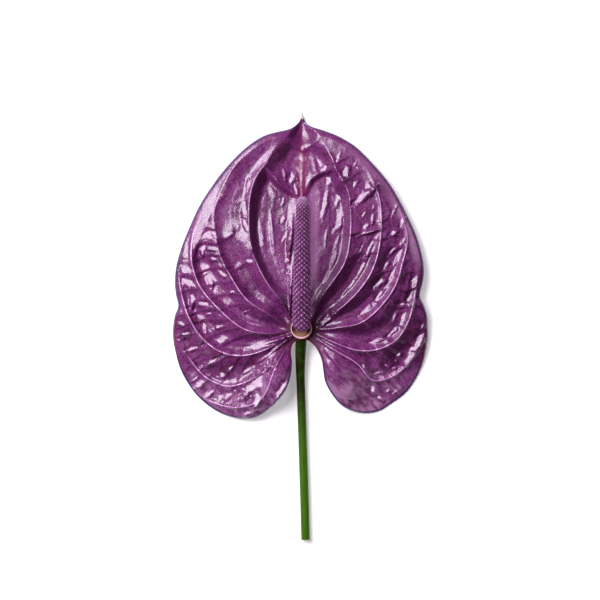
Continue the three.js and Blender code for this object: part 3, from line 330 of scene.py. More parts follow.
class SpatheSettings(bpy.types.PropertyGroup):
    """Sizes and colours of the heart-shaped blade."""

    thickness: length("Thickness", "Thickness of the blade", 1.2)
    edge_round: length("Edge rounding", "Width over which the margin rounds off", 0.7)
    crown_height: length("Crown height", "Height of the upper face at the crown", 13.6)
    fall_sideways: length("Fall sideways", "Drop from the crown to each side", 3.6)
    fall_to_tip: length("Fall to the tip", "Drop from the crown towards the tip", 8.0)
    fall_to_lobes: length("Fall to the lobes", "Drop from the crown to the lobes", 6.0)
    roll_width: length("Roll width", "Width of the band that falls to the margin", 24.0)
    lip_width: length("Lip width", "Width of the margin that rolls down", 1.8)
    lip_drop: length("Lip drop", "Height that the margin rolls down", 0.6)
    strip_width: length("Strip width", "Width of the sloping strip inside the margin", 7.5)
    upper_strip_width: length("Upper strip width", "Its width towards the tip", 3.2)
    strip_slope: number("Strip slope", "Slope of that strip", 0.4)
    trough_share: number("Trough share", "Depth of the midrib as a share of its basin's", 0.8)
    flank_start: length("Flank start", "Distance from the midrib where its flank starts", 1.8)
    flank_end: length("Flank end", "Distance from the midrib where its flank ends", 7.0)
    fold_height: length("Fold height", "Height of the fold across the basin", 0.7)
    fold_width: length("Fold width", "Width of the steep side of that fold", 3.2)
    valley_slope: number("Valley slope", "Depth of a valley for each unit of its width", 0.26)
    valley_depth: length("Valley depth", "Most that the surface sinks between main veins", 3.2)
    margin_share: number("Margin share", "Depth of a valley at the margin as a share", 0.15)
    lower_share: number("Lower share", "Depth of a valley on the lobes as a share", 0.55)
    upper_share: number("Upper share", "Depth of a valley towards the tip as a share", 0.1)
    bank_width: length("Bank width", "Width of the bank up to the first vein", 4.5)
    basin_depth: length("Basin depth", "Depth of the basin beside the foot of the midrib", 3.6)
    basin_end_depth: length("Basin end depth", "Depth of the same basin towards the tip", 6.2)
    wall_width: length("Wall width", "Width of the steep side below each main vein", 4.4)
    basin_wall_width: length("Basin wall width", "Same, round the end of the basin", 7.5)
    keel_slope: number("Keel slope", "Rise of the two sides of the fold at the tip", 0.34)
    keel_width: length("Keel width", "Half width of the fold before its sides steepen", 4.6)
    keel_steepness: number("Keel steepness", "Added rise of its sides from there", 0.5)
    keel_blend: length("Keel blend", "Size of the bend where the fold meets the dome", 0.3)
    keel_foot_blend: length("Keel foot blend", "Same, where it meets the midrib", 1.8)
    keel_height: length("Keel height", "Height of the upper face along that fold", 0.95)
    ridge_height: length("Ridge height", "Height of a main vein above the blade", 0.55)
    ridge_half_width: length("Ridge half width", "Half width of a main vein", 0.75)
    minor_height: length("Minor ridge height", "Height of a minor vein", 0.08)
    midrib_height: length("Midrib height", "Height of the midrib above the trough", 0.12)
    net_height: length("Net height", "Height of the cross ridges over the cells", 0.5)
    net_half_width: length("Net half width", "Half width of a cross ridge", 1.6)
    lobe_share: number("Lobe share", "Height of a cross ridge on the lobes as a share", 1.2)
    swelling_tilt: number("Swelling tilt", "Slope of the broad side of a swelling", 0.36)
    faint_tilt: number("Faint tilt", "Same, of the faint swellings", 0.17)
    pucker_height: length("Pucker height", "Height of the uneven puckers across each band", 0.35)
    pucker_length: length("Pucker length", "Distance between those puckers along a vein", 7.0)
    edge_fade: length("Edge fade", "Width over which the relief fades to the margin", 4.5)
    foot_radius: length("Foot radius", "Half width of the flat under each lobe", 3.2)
    foot_reach: length("Foot reach", "Distance over which the blade rises from it", 19.0)
    foot_stretch: number("Foot stretch", "Length of that flat as a share of its width", 1.7)
    foot_lift: length("Foot lift", "Height of the upper face over that flat", 0.6)
    pad_height: length("Pad height", "Height of the blade round the receptacle", 9.0)
    pad_radius: length("Pad radius", "Radius of the flat round the receptacle", 5.8)
    funnel_radius: length("Funnel radius", "Radius of the funnel round that flat", 22.0)
    spacing: length("Point spacing", "Distance between points of the upper face", 0.5)
    lower_spacing: length("Lower point spacing", "Same, on the lower face", 1.1)
    purple: colour("Purple", "Main colour", (110, 35, 102))
    deep_purple: colour("Deep purple", "Colour of the darker patches", (74, 15, 66))
    # Colour of the fine speckles, and also of the painted shade on slopes turned away from the key
    # light
    speckle_and_painted_shade_purple: colour("Shadow purple", "Colour of fine speckles and shaded slopes", (48, 5, 40))
    lilac: colour("Lilac", "Colour of the paler patches", (142, 76, 136))
    wine: colour("Wine", "Colour of the redder patches", (104, 24, 70))
    magenta: colour("Magenta", "Colour along the midrib", (112, 15, 72))
    # Pink of the veins, partly a painted highlight along their ridges
    vein_pink_and_painted_highlight: colour("Vein pink", "Colour of the lines on the veins", (204, 146, 200))
    # Pale lilac of the painted reflections and of the painted highlight streaks
    painted_reflection_lilac: colour("Strip lilac", "Colour of the palest places inside the margin", (170, 122, 162))
    edge_violet: colour("Edge violet", "Colour of the rolled margin", (44, 24, 84))
    edge_wine: colour("Edge wine", "Colour of the margin at the sinus", (92, 20, 52))
    base_wine: colour("Base wine", "Colour round the receptacle", (74, 8, 48))
    tip_cream: colour("Tip cream", "Colour near the tip", (214, 200, 190))
    tip_green: colour("Tip green", "Colour at the very tip", (120, 150, 96))


class SpadixSettings(bpy.types.PropertyGroup):
    """Sizes and colours of the floret-covered spike."""

    radius: length("Radius", "Radius of the spike at its foot", 4.4)
    taper: number("Taper", "Share of the radius lost at the tip", 0.36)
    florets_round: count("Florets round", "Florets in one row round the spike", 10)
    seed: count("Seed", "Seed of the random tilts and sizes", 7)
    purple: colour("Purple", "Main colour of the florets", (136, 68, 130))
    # Darker tone of some florets, and also the painted shade in the gaps between the florets
    deep_purple: colour("Deep purple", "Colour between the florets", (58, 18, 54))
    # The pale stigmas are a painted glint on each floret
    pale: colour("Pale", "Colour of the stigmas", (236, 190, 230))


class ReceptacleSettings(bpy.types.PropertyGroup):
    """Sizes and colours of the cup round the foot of the spadix."""

    radius: length("Radius", "Outer radius of the cup", 5.4)
    rim_front: length("Rim height", "Height of the rim at its front", 12.6)
    lip_width: length("Lip width", "Width of the lip round the dish of the cup", 0.55)
    lip_pink: colour("Lip pink", "Colour of the lip", (236, 178, 186))
    olive: colour("Olive", "Colour of the cup", (158, 118, 92))
    wine: colour("Wine", "Colour at the foot of the cup", (128, 30, 72))


class StemSettings(bpy.types.PropertyGroup):
    """Sizes and colours of the stem."""

    radius: length("Radius", "Radius along most of the stem", 2.2)
    top_radius: length("Top radius", "Radius under the spathe", 2.8)
    sides: count("Sides", "Faces round the stem", 64)
    rings: count("Rings", "Faces along the stem", 240)
    dark_green: colour("Dark green", "Colour under the spathe", (28, 40, 2))
    green: colour("Green", "Colour of the lower stem", (60, 104, 4))
    cut_green: colour("Cut green", "Colour of the cut end", (170, 186, 120))


class StageSettings(bpy.types.PropertyGroup):
    """Camera, floor and lights."""

    floor_size: length("Floor size", "Side of the pale floor", 4000.0)
    view_width: length("View width", "Width of the view at the margin", 307.1)
    focal_length: number("Focal length", "Lens of the camera in millimetres", 150.0)
    key_power: number("Key power", "Power of the large soft light in watts", 19.8)
    fill_power: number("Fill power", "Power of the weaker light in watts", 2.0)
    overhead_power: number("Overhead power", "Power of the broad light above in watts", 1.0)
    daylight: number("Daylight", "Strength of the even light from all sides", 0.008)
    floor_colour: colour("Floor colour", "Pale floor", (244, 243, 244))
    floor_glow: number("Floor glow", "Light that the floor gives, as a lit studio floor does", 0.3)


# Small helpers

def mix(first, second, share):
    return first + (second - first) * share


def smoothstep(start, end, value):
    share = np.clip((value - start) / (end - start), 0, 1)
    return share * share * (3 - 2 * share)


def passed(stretch, value):
    """0 before a stretch in millimetres, 1 beyond it and smooth between, for a value in metres."""
    start, end = stretch
    return smoothstep(start * MM, end * MM, value)


def smooth_least(first, second, bend):
    """The lower of two heights, rounded where they cross."""
    apart = np.clip(0.5 + 0.5 * (second - first) / bend, 0, 1)
    return mix(second, first, apart) - bend * apart * (1 - apart)


def crest(distance, half_width):
    """Height of a rounded ridge as a share, at a distance from its middle."""
    return np.exp(-(distance / half_width) ** 2)


def unit(vector):
    return np.asarray(vector, float) / np.linalg.norm(vector)


def turned(x, y, angle):
    """How far (x, y) reaches along a direction and across it."""
    cosine, sine = math.cos(angle), math.sin(angle)
    return x * cosine + y * sine, y * cosine - x * sine


def ripples(x, y, size, seed):
    """Smooth random values between about -1 and 1, with features of the given size in metres."""
    scaled = zip(x / size, y / size)
    return np.array([noise.noise((a, b, seed)) for a, b in scaled])


def layered_ripples(x, y, layers):
    """Sum of ripples, each given as [height, size in millimetres, seed]."""
    return sum(height * ripples(x, y, size * MM, seed) for height, size, seed in layers)


def steady_draw(index, step, seed):
    """A value between about -1 and 1 that is the same each time for an index."""
    return noise.noise((index * step, seed, 0.5))


def face_outwards(mesh):
    work = bmesh.new()
    work.from_mesh(mesh)
    bmesh.ops.recalc_face_normals(work, faces=work.faces)
    work.to_mesh(mesh)
    work.free()


def store(mesh, name, values):
    """Keeps one number a point in the mesh, for its material to read."""
    attribute = mesh.attributes.new(name, "FLOAT", "POINT")
    attribute.data.foreach_set("value", values.astype(np.float32))


def link_object(name, data):
    made = bpy.data.objects.new(name, data)
    bpy.context.scene.collection.objects.link(made)
    return made


def evaluated_mesh(made):
    """The plain mesh of an object with its modifiers applied."""
    graph = bpy.context.evaluated_depsgraph_get()
    return bpy.data.meshes.new_from_object(made.evaluated_get(graph))


# Lines and their distances

CURVE_SAMPLES = 24


def smooth_line(points, spacing):
    """Evenly spaced points along a smooth curve through the given points, in metres."""
    knots = np.array([(*p, 0.0)[:3] for p in points]) * MM
    padded = np.vstack([2 * knots[0] - knots[1], knots, 2 * knots[-1] - knots[-2]])
    share = np.linspace(0, 1, CURVE_SAMPLES, endpoint=False)[:, None]
    pieces = []
    for p0, p1, p2, p3 in zip(padded, padded[1:], padded[2:], padded[3:]):
        t0, t1, t2 = (np.linalg.norm(b - a) ** 0.5 for a, b in ((p0, p1), (p1, p2), (p2, p3)))
        start = ((p1 - p0) / t0 - (p2 - p0) / (t0 + t1) + (p2 - p1) / t1) * t1
        end = ((p2 - p1) / t1 - (p3 - p1) / (t1 + t2) + (p3 - p2) / t2) * t1
        square = 3 * (p2 - p1) - 2 * start - end
        cube = 2 * (p1 - p2) + start + end
        pieces.append(p1 + start * share + square * share**2 + cube * share**3)
    fine = np.vstack([*pieces, knots[-1:]])
    run = np.concatenate([[0], np.cumsum(np.linalg.norm(np.diff(fine, axis=0), axis=1))])
    at = np.linspace(0, run[-1], max(2, round(run[-1] / spacing)) + 1)
    return np.column_stack([np.interp(at, run, fine[:, axis]) for axis in range(3)])


def nearest_on(line, x, y):
    """Nearest point of a line to each (x, y): distance, share along, side (+1 is left), height."""
    distance = np.full(x.shape, np.inf)
    along = np.zeros_like(x)
    side = np.zeros_like(x)
    height = np.zeros_like(x)
    last = len(line) - 1
    for index in range(last):
        ax, ay, az = line[index]
        dx, dy, dz = line[index + 1] - line[index]
        share = np.clip(((x - ax) * dx + (y - ay) * dy) / (dx * dx + dy * dy), 0, 1)
        gap = np.hypot(x - ax - share * dx, y - ay - share * dy)
        closer = gap < distance
        distance[closer] = gap[closer]
        along[closer] = (index + share[closer]) / last
        side[closer] = np.sign(dx * (y[closer] - ay) - dy * (x[closer] - ax))
        height[closer] = az + dz * share[closer]
    return {"distance": distance, "along": along, "side": side, "height": height}


# Cross ridges, in shares of their usual height and half width: how far one reaches, how much they
# vary, and how wide their two sides are
NET_REACH = 3.0
NET_HEIGHT_VARIES = 0.55
NET_WIDTH_VARIES = 0.5
NET_GENTLE_SIDE = 1.35
NET_STEEP_SIDE = 0.65


def net_ridges(s, lines, x, y):
    """Height of the cross ridges, each of its own height and width, and the distance to them."""
    height = np.zeros_like(x)
    reach = NET_REACH * s.net_half_width
    distance = np.full(x.shape, reach)
    for index, line in enumerate(lines):
        here = near_line(line, x, y, reach)
        near = nearest_on(line, x[here], y[here])
        peak = s.net_height * (1 + NET_HEIGHT_VARIES * steady_draw(index, 1.7, 0.5))
        peak *= mix(1, s.lobe_share, passed(LOBES_BEGIN_Y, line[0][1]))
        width = s.net_half_width * (1 + NET_WIDTH_VARIES * steady_draw(index, 2.3, 4.5))
        to_tip = near["side"] == np.sign(line[-1][0] - line[0][0])
        width = width * np.where(to_tip, NET_GENTLE_SIDE, NET_STEEP_SIDE)
        height[here] = np.maximum(height[here], peak * crest(near["distance"], width))
        distance[here] = np.minimum(distance[here], near["distance"])
    return height, distance


def near_line(line, x, y, reach):
    low = line.min(axis=0) - reach
    high = line.max(axis=0) + reach
    return (x > low[0]) & (x < high[0]) & (y > low[1]) & (y < high[1])


def distance_to_lines(lines, x, y, reach):
    """Distance to the nearest of several short lines, no more than the reach."""
    distance = np.full(x.shape, reach)
    for line in lines:
        here = near_line(line, x, y, reach)
        gap = nearest_on(line, x[here], y[here])["distance"]
        distance[here] = np.minimum(distance[here], gap)
    return distance


def is_inside(outline, x, y):
    """Whether each (x, y) lies inside a closed outline."""
    inside = np.zeros(x.shape, bool)
    for (ax, ay), (bx, by) in zip(outline[:, :2], np.roll(outline[:, :2], -1, axis=0)):
        if ay == by:
            continue
        crosses = ((ay > y) != (by > y)) & (x < (bx - ax) * (y - ay) / (by - ay) + ax)
        inside ^= crosses
    return inside


def run_of(line):
    return float(np.linalg.norm(np.diff(line, axis=0), axis=1).sum())


LINE_STEP = 0.6 * MM
MARGIN_POINTS = [TIP, *MARGIN_LEFT, SINUS, *reversed(MARGIN_RIGHT), TIP]
MARGIN_LINE = smooth_line(MARGIN_POINTS, LINE_STEP)
MARGIN_RUN = run_of(MARGIN_LINE)
MIDRIB_LINE = smooth_line(MIDRIB, LINE_STEP)


def make_half(outward, shares, veins, pale_ends, minor, fold, net):
    return {
        "outward": outward,
        **shares,
        "pale_ends": pale_ends,
        "veins": [smooth_line(points, LINE_STEP) for points in veins],
        "minor": [smooth_line(points, LINE_STEP) for points in minor],
        "fold": smooth_line(fold, LINE_STEP),
        "net": [smooth_line(points, LINE_STEP) for points in net],
    }


HALVES = [
    make_half(1, SHARES_LEFT, VEINS_LEFT, PALE_ENDS_LEFT, MINOR_LEFT, FOLD_LEFT, NET_LEFT),
    make_half(-1, SHARES_RIGHT, VEINS_RIGHT, PALE_ENDS_RIGHT, MINOR_RIGHT, FOLD_RIGHT, NET_RIGHT),
]


# Relief of the spathe

# Main veins, by shares of their length. A ridge sinks round the end of its pale line
RIDGE_STARTS = (0.0, 0.08)
RIDGE_ENDS = (0.75, 1.0)
PALE_STARTS = (0.08, 0.3)
SINKS_BEFORE = 0.15
SINKS_AFTER = 0.1
SUNK_RIDGE = 0.4

# Millimetres by which a pale line counts as further off, beyond its end and at its start
PALE_GONE = 1.0
PALE_FAINT = 0.25

# Valleys: share of the width before the steep wall, gentle share of that, and curve of the wall
FLOOR_SHARES = (0.55, 0.8)
GENTLE_SHARE = 0.75
WALL_POWER = 1.2

# Basin: its shallow end as a share of its depth at the midrib, and millimetres from the midrib
# over which that changes and over which the crest of the fold rises
PLATEAU_AT_MIDRIB = 0.85
PLATEAU_STARTS = (3.0, 16.0)
FOLD_CREST_STARTS = (1.0, 5.0)

# Millimetres inside the margin over which the net starts, lead of the nearest vein over the
# margin at which a band is at its full depth, and reach of a minor vein in millimetres
NET_STARTS = (5.5, 9.5)
FULL_DEPTH = (0.0, 0.4)
MINOR_REACH = 4.0

# Puckers across the bands and longer streaks along the basin, with their shares in the basin
PUCKERS_ACROSS = 1.6
PUCKER_SEED = 5.3
STREAKS_ACROSS = 5.5
STREAK_LENGTH = 4.0
STREAK_SEED = 2.9
BASIN_STREAKS = 0.9
BASIN_PUCKERS = 0.15

# Fold at the tip, in millimetres
KEEL_ROUND = 0.6
KEEL_END_WIDTH = 0.5
KEEL_START_HEIGHT = 9.0
KEEL_FOOT = (1.5, 5.0)

# Swellings, in shares of their size. Outlines, tilts and waves are [height, millimetres, seed]
SWELLING_FADES = (0.45, 1.7)
RAGGED_OUTLINE = [[0.45, 2.1, 6.1], [0.3, 0.9, 2.7]]
RAGGED_SLIMNESS = 4.0
UNEVEN_TILT = [[0.35, 2.6, 9.4]]
LEVEL_AT = 0.4
WAVES = [[0.4, 12.0, 3.1], [0.13, 3.8, 8.7], [0.05, 1.7, 4.4]]


def crown_height(s, x, y):
    """Height of the broad dome."""
    sideways = s.fall_sideways * (x / (HALF_WIDTH * MM)) ** 2
    to_tip = s.fall_to_tip * (np.maximum(y - CROWN_CENTRE_Y * MM, 0) / (HALF_LENGTH * MM)) ** 2
    return s.crown_height - sideways - to_tip - s.fall_to_lobes * passed(LOBES_DROOP_Y, y)


def rolled_shape(s, x, y, edge):
    """The dome, rolling down to the margin."""
    inset = edge["distance"]
    lip = 1 - np.minimum(inset / s.lip_width, 1)
    strip_width = mix(s.strip_width, s.upper_strip_width, passed(STRIP_NARROWS_Y, y))
    strip = s.strip_slope * np.minimum(inset, strip_width)
    margin = edge["height"] + strip + s.lip_drop * (1 - lip**2)
    return mix(margin, crown_height(s, x, y), smoothstep(0, s.roll_width, inset))


def wall_depth(share):
    """Depth down a steep side, from 0 at its top to 1 at its foot."""
    return np.sin(0.5 * math.pi * np.clip(share, 0, 1)) ** WALL_POWER


def valley_depth(s, inner, outer, y):
    """Depth between two lines: a gentle slope outside the inner one, a steep wall below the outer."""
    width = inner + outer
    across = inner / width
    floor = np.clip(1 - s.wall_width / width, *FLOOR_SHARES)
    gentle = smoothstep(0, GENTLE_SHARE * floor, across)
    steep = wall_depth((1 - across) / (1 - floor))
    share = mix(1, s.upper_share, passed(VALLEYS_END_Y, y))
    share *= mix(1, s.lower_share, passed(LOBES_BEGIN_Y, y))
    depth = np.minimum(s.valley_depth, s.valley_slope * width)
    return share * depth * np.where(across < floor, gentle, steep)


def basin_depth(s, half, inner, outer, y, below_fold):
    """Depth between the midrib and the first vein: a flank up to the midrib, a wall to the vein."""
    depth = mix(s.basin_depth, s.basin_end_depth, passed(BASIN_DEEPENS_Y, y))
    depth = np.minimum(depth, 0.5 * (inner + outer))
    wall = mix(s.wall_width, s.basin_wall_width, passed(BASIN_WALL_WIDENS_Y, y))
    trough = mix(s.trough_share, 1, passed(TROUGH_FILLS_Y, y))
    flank = mix(trough, 1, smoothstep(s.flank_start, s.flank_end, inner))
    plateau = mix(PLATEAU_AT_MIDRIB, half["plateau"], passed(PLATEAU_STARTS, inner))
    end = mix(plateau, 1, smoothstep(0, s.fold_width, below_fold))
    return depth * flank * end * wall_depth(outer / wall)


def vein_ridge(s, near, pale_end):
    """Height of the ridge over a main vein, and the distance to its pale line."""
    along = near["along"]
    fade = smoothstep(*RIDGE_STARTS, along) * (1 - smoothstep(*RIDGE_ENDS, along))
    sunk = smoothstep(pale_end - SINKS_BEFORE, pale_end + SINKS_AFTER, along)
    fade *= mix(1, SUNK_RIDGE, sunk)
    faint = PALE_GONE * smoothstep(pale_end - SINKS_BEFORE, pale_end, along)
    faint += PALE_FAINT * (1 - smoothstep(*PALE_STARTS, along))
    ridge = s.ridge_height * fade * crest(near["distance"], s.ridge_half_width)
    return ridge, near["distance"] + faint * MM


def between_veins(s, half, x, y, edge):
    """Distances to the lines on both sides of each point, and the ridges over the main veins."""
    midrib = nearest_on(MIDRIB_LINE, x, y)["distance"]
    inner = midrib.copy()
    outer = edge["distance"].copy()
    run = edge["along"] * MARGIN_RUN
    veins_inside = np.zeros(x.shape, int)
    ridge = s.midrib_height * crest(midrib, s.ridge_half_width)
    vein = np.full(x.shape, np.inf)
    for line, pale_end in zip(half["veins"], half["pale_ends"]):
        near = nearest_on(line, x, y)
        outward = near["side"] == half["outward"]
        inner = np.where(outward, np.minimum(inner, near["distance"]), inner)
        run = np.where(outward | (near["distance"] > outer), run, near["along"] * run_of(line))
        outer = np.where(outward, outer, np.minimum(outer, near["distance"]))
        veins_inside += outward
        own_ridge, pale_line = vein_ridge(s, near, pale_end)
        ridge = np.maximum(ridge, own_ridge)
        vein = np.minimum(vein, pale_line)
    return {"midrib": midrib, "inner": inner, "outer": outer, "run": run, "vein": vein,
            "veins_inside": veins_inside, "ridge": ridge}


def puckers(s, run, across, central):
    """Uneven puckers across each band, and mostly streaks along the basin, about -1 to 1."""
    short = ripples(run / s.pucker_length, PUCKERS_ACROSS * across, 1.0, PUCKER_SEED)
    long = ripples(run / (STREAK_LENGTH * s.pucker_length), STREAKS_ACROSS * across, 1.0, STREAK_SEED)
    return np.where(central, BASIN_STREAKS * long + BASIN_PUCKERS * short, short)


def half_relief(s, half, x, y, edge):
    """Relief of one half over its dome, and the distances that its colours follow."""
    cell = between_veins(s, half, x, y, edge)
    inner, outer, inset = cell["inner"], cell["outer"], edge["distance"]
    across = inner / (inner + outer)
    central = cell["veins_inside"] == 0
    bank = half["bank_tilt"] * outer * smoothstep(0, s.bank_width, inner)
    bank *= passed(BANK_BEGINS_Y, y) * (cell["veins_inside"] == 1)
    minor = distance_to_lines(half["minor"], x, y, MINOR_REACH * MM)
    ridge = np.maximum(cell["ridge"], s.minor_height * crest(minor, s.ridge_half_width))
    smooth_strip = mix(1, passed(NET_STARTS, inset), passed(STRIP_SMOOTH_Y, y))
    cross, net = net_ridges(s, half["net"], x, y)
    cross *= half["net_share"] * smooth_strip
    fold = nearest_on(half["fold"], x, y)
    below_fold = fold["distance"] * fold["side"] * half["outward"]
    fold_height = s.fold_height * passed(FOLD_CREST_STARTS, inner) * central
    cross += fold_height * crest(below_fold, s.net_half_width)
    calm = mix(s.margin_share, 1, smoothstep(*FULL_DEPTH, (inset - outer) / (inset + outer)))
    calm *= smooth_strip
    valley = np.where(central, basin_depth(s, half, inner, outer, y, below_fold),
                      calm * valley_depth(s, inner, outer, y))
    waves = calm * puckers(s, cell["run"], across, central) * np.sin(math.pi * across)
    relief = ridge + cross - valley - bank + s.pucker_height * waves
    return {
        "relief": relief * (1 - passed(RELIEF_ENDS_Y, y)),
        "vein": cell["vein"],
        "minor": minor,
        "net": net,
        "midrib": cell["midrib"],
    }


def tip_fold(s, x, y, height):
    """The blade folded up on both sides of a low keel near the tip."""
    offset = np.hypot(x - TIP[0] * MM, KEEL_ROUND * MM)
    width = mix(s.keel_width, KEEL_END_WIDTH * MM, passed(KEEL_NARROWS_Y, y))
    sides = s.keel_slope * offset + s.keel_steepness * np.maximum(offset - width, 0)
    start = mix(KEEL_START_HEIGHT * MM, 0, passed(KEEL_BEGINS_Y, y))
    end = (TIP[2] * MM - s.keel_height) * passed(KEEL_RISES_Y, y)
    bend = mix(s.keel_foot_blend, s.keel_blend, passed(KEEL_FOOT, offset))
    return smooth_least(height, s.keel_height + start + end + sides, bend)


def clear_of_foot(s, foot, x, y):
    """0 where a lobe lies on the ground, 1 where the blade is clear of it."""
    dx = x - foot["centre"][0] * MM
    dy = y - foot["centre"][1] * MM
    run_x, run_y = foot["along"]
    away = np.hypot((dx * run_x + dy * run_y) / s.foot_stretch, dy * run_x - dx * run_y)
    return smoothstep(s.foot_radius, s.foot_reach, away)


def add_swelling(x, y, height, swelling, level, tilt):
    """Raises a ragged oval that leans to one side, level being the height at its centre."""
    centre_x, centre_y, half_length, half_width = (size * MM for size in swelling[:4])
    turn = math.radians(swelling[4])
    here = np.hypot(x - centre_x, y - centre_y) < SWELLING_FADES[1] * half_length
    x, y = x[here], y[here]
    dx, dy = x - centre_x, y - centre_y
    along, across = turned(dx, dy, turn)
    ragged = layered_ripples(x, y, RAGGED_OUTLINE)
    ragged *= min(1, RAGGED_SLIMNESS * half_width / half_length)
    away = np.hypot(along / half_length, across / half_width) * (1 + ragged)
    share = 1 - smoothstep(*SWELLING_FADES, away)
    lean_along, lean_across = turned(*LEAN_SIDE, turn)
    extent = math.hypot(half_length * lean_along, half_width * lean_across)
    tilt = tilt * (1 + layered_ripples(x, y, UNEVEN_TILT))
    plane = level + tilt * (LEVEL_AT * extent - dx * LEAN_SIDE[0] - dy * LEAN_SIDE[1])
    height[here] = mix(height[here], plane, share)


def surface_at(s, x, y):
    """Height of the upper face at each (x, y), with the distances that its colours follow."""
    fields = bare_surface(s, x, y)
    height = fields["height"]
    for swellings, tilt in ((FAINT_SWELLINGS, s.faint_tilt), (SWELLINGS, s.swelling_tilt)):
        centres = np.array(swellings)[:, :2] * MM
        levels = bare_surface(s, centres[:, 0], centres[:, 1])["height"]
        for swelling, level in zip(swellings, levels):
            add_swelling(x, y, height, swelling, level, tilt)
    fields["height"] = np.maximum(height, s.thickness)
    fields["lower"] = (fields["height"] - s.thickness) * fields["clear"]
    return fields


def bare_surface(s, x, y):
    """The same without the swellings."""
    edge = nearest_on(MARGIN_LINE, x, y)
    fields = {name: np.zeros_like(x) for name in ("relief", "vein", "minor", "net", "midrib")}
    left = x < TIP[0] * MM
    for half, here in zip(HALVES, (left, ~left)):
        beside = {name: values[here] for name, values in edge.items()}
        for name, values in half_relief(s, half, x[here], y[here], beside).items():
            fields[name][here] = values
    inside = smoothstep(0, s.edge_fade, edge["distance"])
    relief = fields["relief"] + MM * layered_ripples(x, y, WAVES)
    from_base = np.hypot(x - BASE_CENTRE[0] * MM, y - BASE_CENTRE[1] * MM)
    funnel = smoothstep(s.pad_radius, s.funnel_radius, from_base)
    height = mix(s.pad_height, rolled_shape(s, x, y, edge), funnel)
    relief *= inside * smoothstep(s.pad_radius, 2 * s.pad_radius, from_base)
    height = tip_fold(s, x, y, height + relief)
    clear = np.ones(x.shape)
    for foot in FEET:
        off_ground = clear_of_foot(s, foot, x, y)
        low = s.thickness + np.maximum(s.foot_lift * inside + relief, 0)
        height = mix(low, height, off_ground)
        clear *= off_ground
    fields["height"] = height
    fields["clear"] = clear
    fields["edge"] = edge["distance"]
    fields["base"] = from_base
    return fields


# Mesh of the spathe

# Rows of points that round the margin off, as shares of the width over which it rounds off
RIM_ROWS = (0.1, 0.35, 0.75)

# Least clearances, as shares: a row's points from the margin, and the grid's points from the last
# row and from the veins
ROW_CLEARANCE = 0.97
GRID_CLEARANCE = 0.6
VEIN_CLEARANCE = 0.55

# Millimetres from the margin at which the edges along the veins stop
VEIN_INSET = 0.9

# Values that the material reads from the points of the blade: distances in millimetres, and 1 on
# the lower face
FIELD_NAMES = ("vein", "minor", "net", "midrib", "edge", "base", "underside")


def hex_grid(low, high, spacing):
    """Points of an even triangular grid over a rectangle."""
    row_height = spacing * math.sqrt(0.75)
    rows = np.arange(low[1], high[1], row_height)
    columns = np.arange(low[0], high[0], spacing)
    x, y = np.meshgrid(columns, rows)
    x = x + (np.arange(len(rows)) % 2)[:, None] * spacing / 2
    return x.ravel(), y.ravel()


def flat_lines():
    """Veins that the triangles of the upper face follow."""
    lines = [MIDRIB_LINE]
    for half in HALVES:
        lines += half["veins"]
    return lines


def rim_points(outline, insets):
    """Rows of points just inside the margin, which carry its rounding."""
    before = np.roll(outline, 1, axis=0)
    after = np.roll(outline, -1, axis=0)
    run = (after - before)[:, :2]
    normal = np.column_stack([-run[:, 1], run[:, 0]]) / np.linalg.norm(run, axis=1)[:, None]
    rows = []
    for inset in insets:
        row = outline[:, :2] + normal * inset
        near = nearest_on(MARGIN_LINE, row[:, 0], row[:, 1])["distance"]
        rows.append(row[near > ROW_CLEARANCE * inset])
    points = np.vstack(rows)
    return points[is_inside(outline, points[:, 0], points[:, 1])]


def face_points(outline, spacing, insets, lines):
    """Inner points of one face of the blade, and the edges that follow its veins."""
    low = outline.min(axis=0)
    high = outline.max(axis=0)
    x, y = hex_grid(low, high, spacing)
    kept = is_inside(outline, x, y)
    x, y = x[kept], y[kept]
    inset = max(insets) + GRID_CLEARANCE * spacing
    clear = nearest_on(MARGIN_LINE, x, y)["distance"] > inset
    clear &= distance_to_lines(lines, x, y, spacing) > VEIN_CLEARANCE * spacing
    points = [rim_points(outline, insets), np.column_stack([x, y])[clear]]
    edges = []
    start = sum(len(part) for part in points)
    for line in lines:
        row = line[:, :2]
        inside = is_inside(outline, row[:, 0], row[:, 1])
        inset = nearest_on(MARGIN_LINE, row[:, 0], row[:, 1])["distance"]
        row = row[inside & (inset > VEIN_INSET * MM)]
        edges += [(start + i, start + i + 1) for i in range(len(row) - 1)]
        points.append(row)
        start += len(row)
    return np.vstack(points), edges


def triangles_of(outline, inner, edges):
    """Triangles inside the outline through all the points, counter-clockwise from above."""
    flat = np.vstack([outline[:, :2], inner]) / MM
    rim = len(outline)
    shifted = [(a + rim, b + rim) for a, b in edges]
    result = delaunay_2d_cdt([Vector(p) for p in flat], shifted, [list(range(rim))], 1, 1e-4)
    coordinates = np.array([tuple(p) for p in result[0]]) * MM
    faces = np.array(result[2])
    a, b, c = (coordinates[faces[:, k]] for k in range(3))
    turn = (b - a)[:, 0] * (c - a)[:, 1] - (b - a)[:, 1] * (c - a)[:, 0]
    faces[turn < 0] = faces[turn < 0][:, ::-1]
    return coordinates, faces


def edge_rounding(s, distance):
    """Share of the full thickness at a distance from the margin."""
    share = np.clip(distance / s.edge_round, 0, 1)
    return np.sqrt(1 - (1 - share) ** 2)


def blade_face(s, flat, rim, side):
    """Points of the upper face (side 1) or the lower face (side -1), and the values they carry."""
    fields = surface_at(s, flat[:, 0], flat[:, 1])
    fields["edge"][:rim] = 0
    middle = 0.5 * (fields["height"] + fields["lower"])
    half = 0.5 * (fields["height"] - fields["lower"])
    z = middle + side * half * edge_rounding(s, fields["edge"])
    fields["underside"] = np.full(z.shape, 0.5 - 0.5 * side) * MM
    return np.column_stack([flat, z]), fields


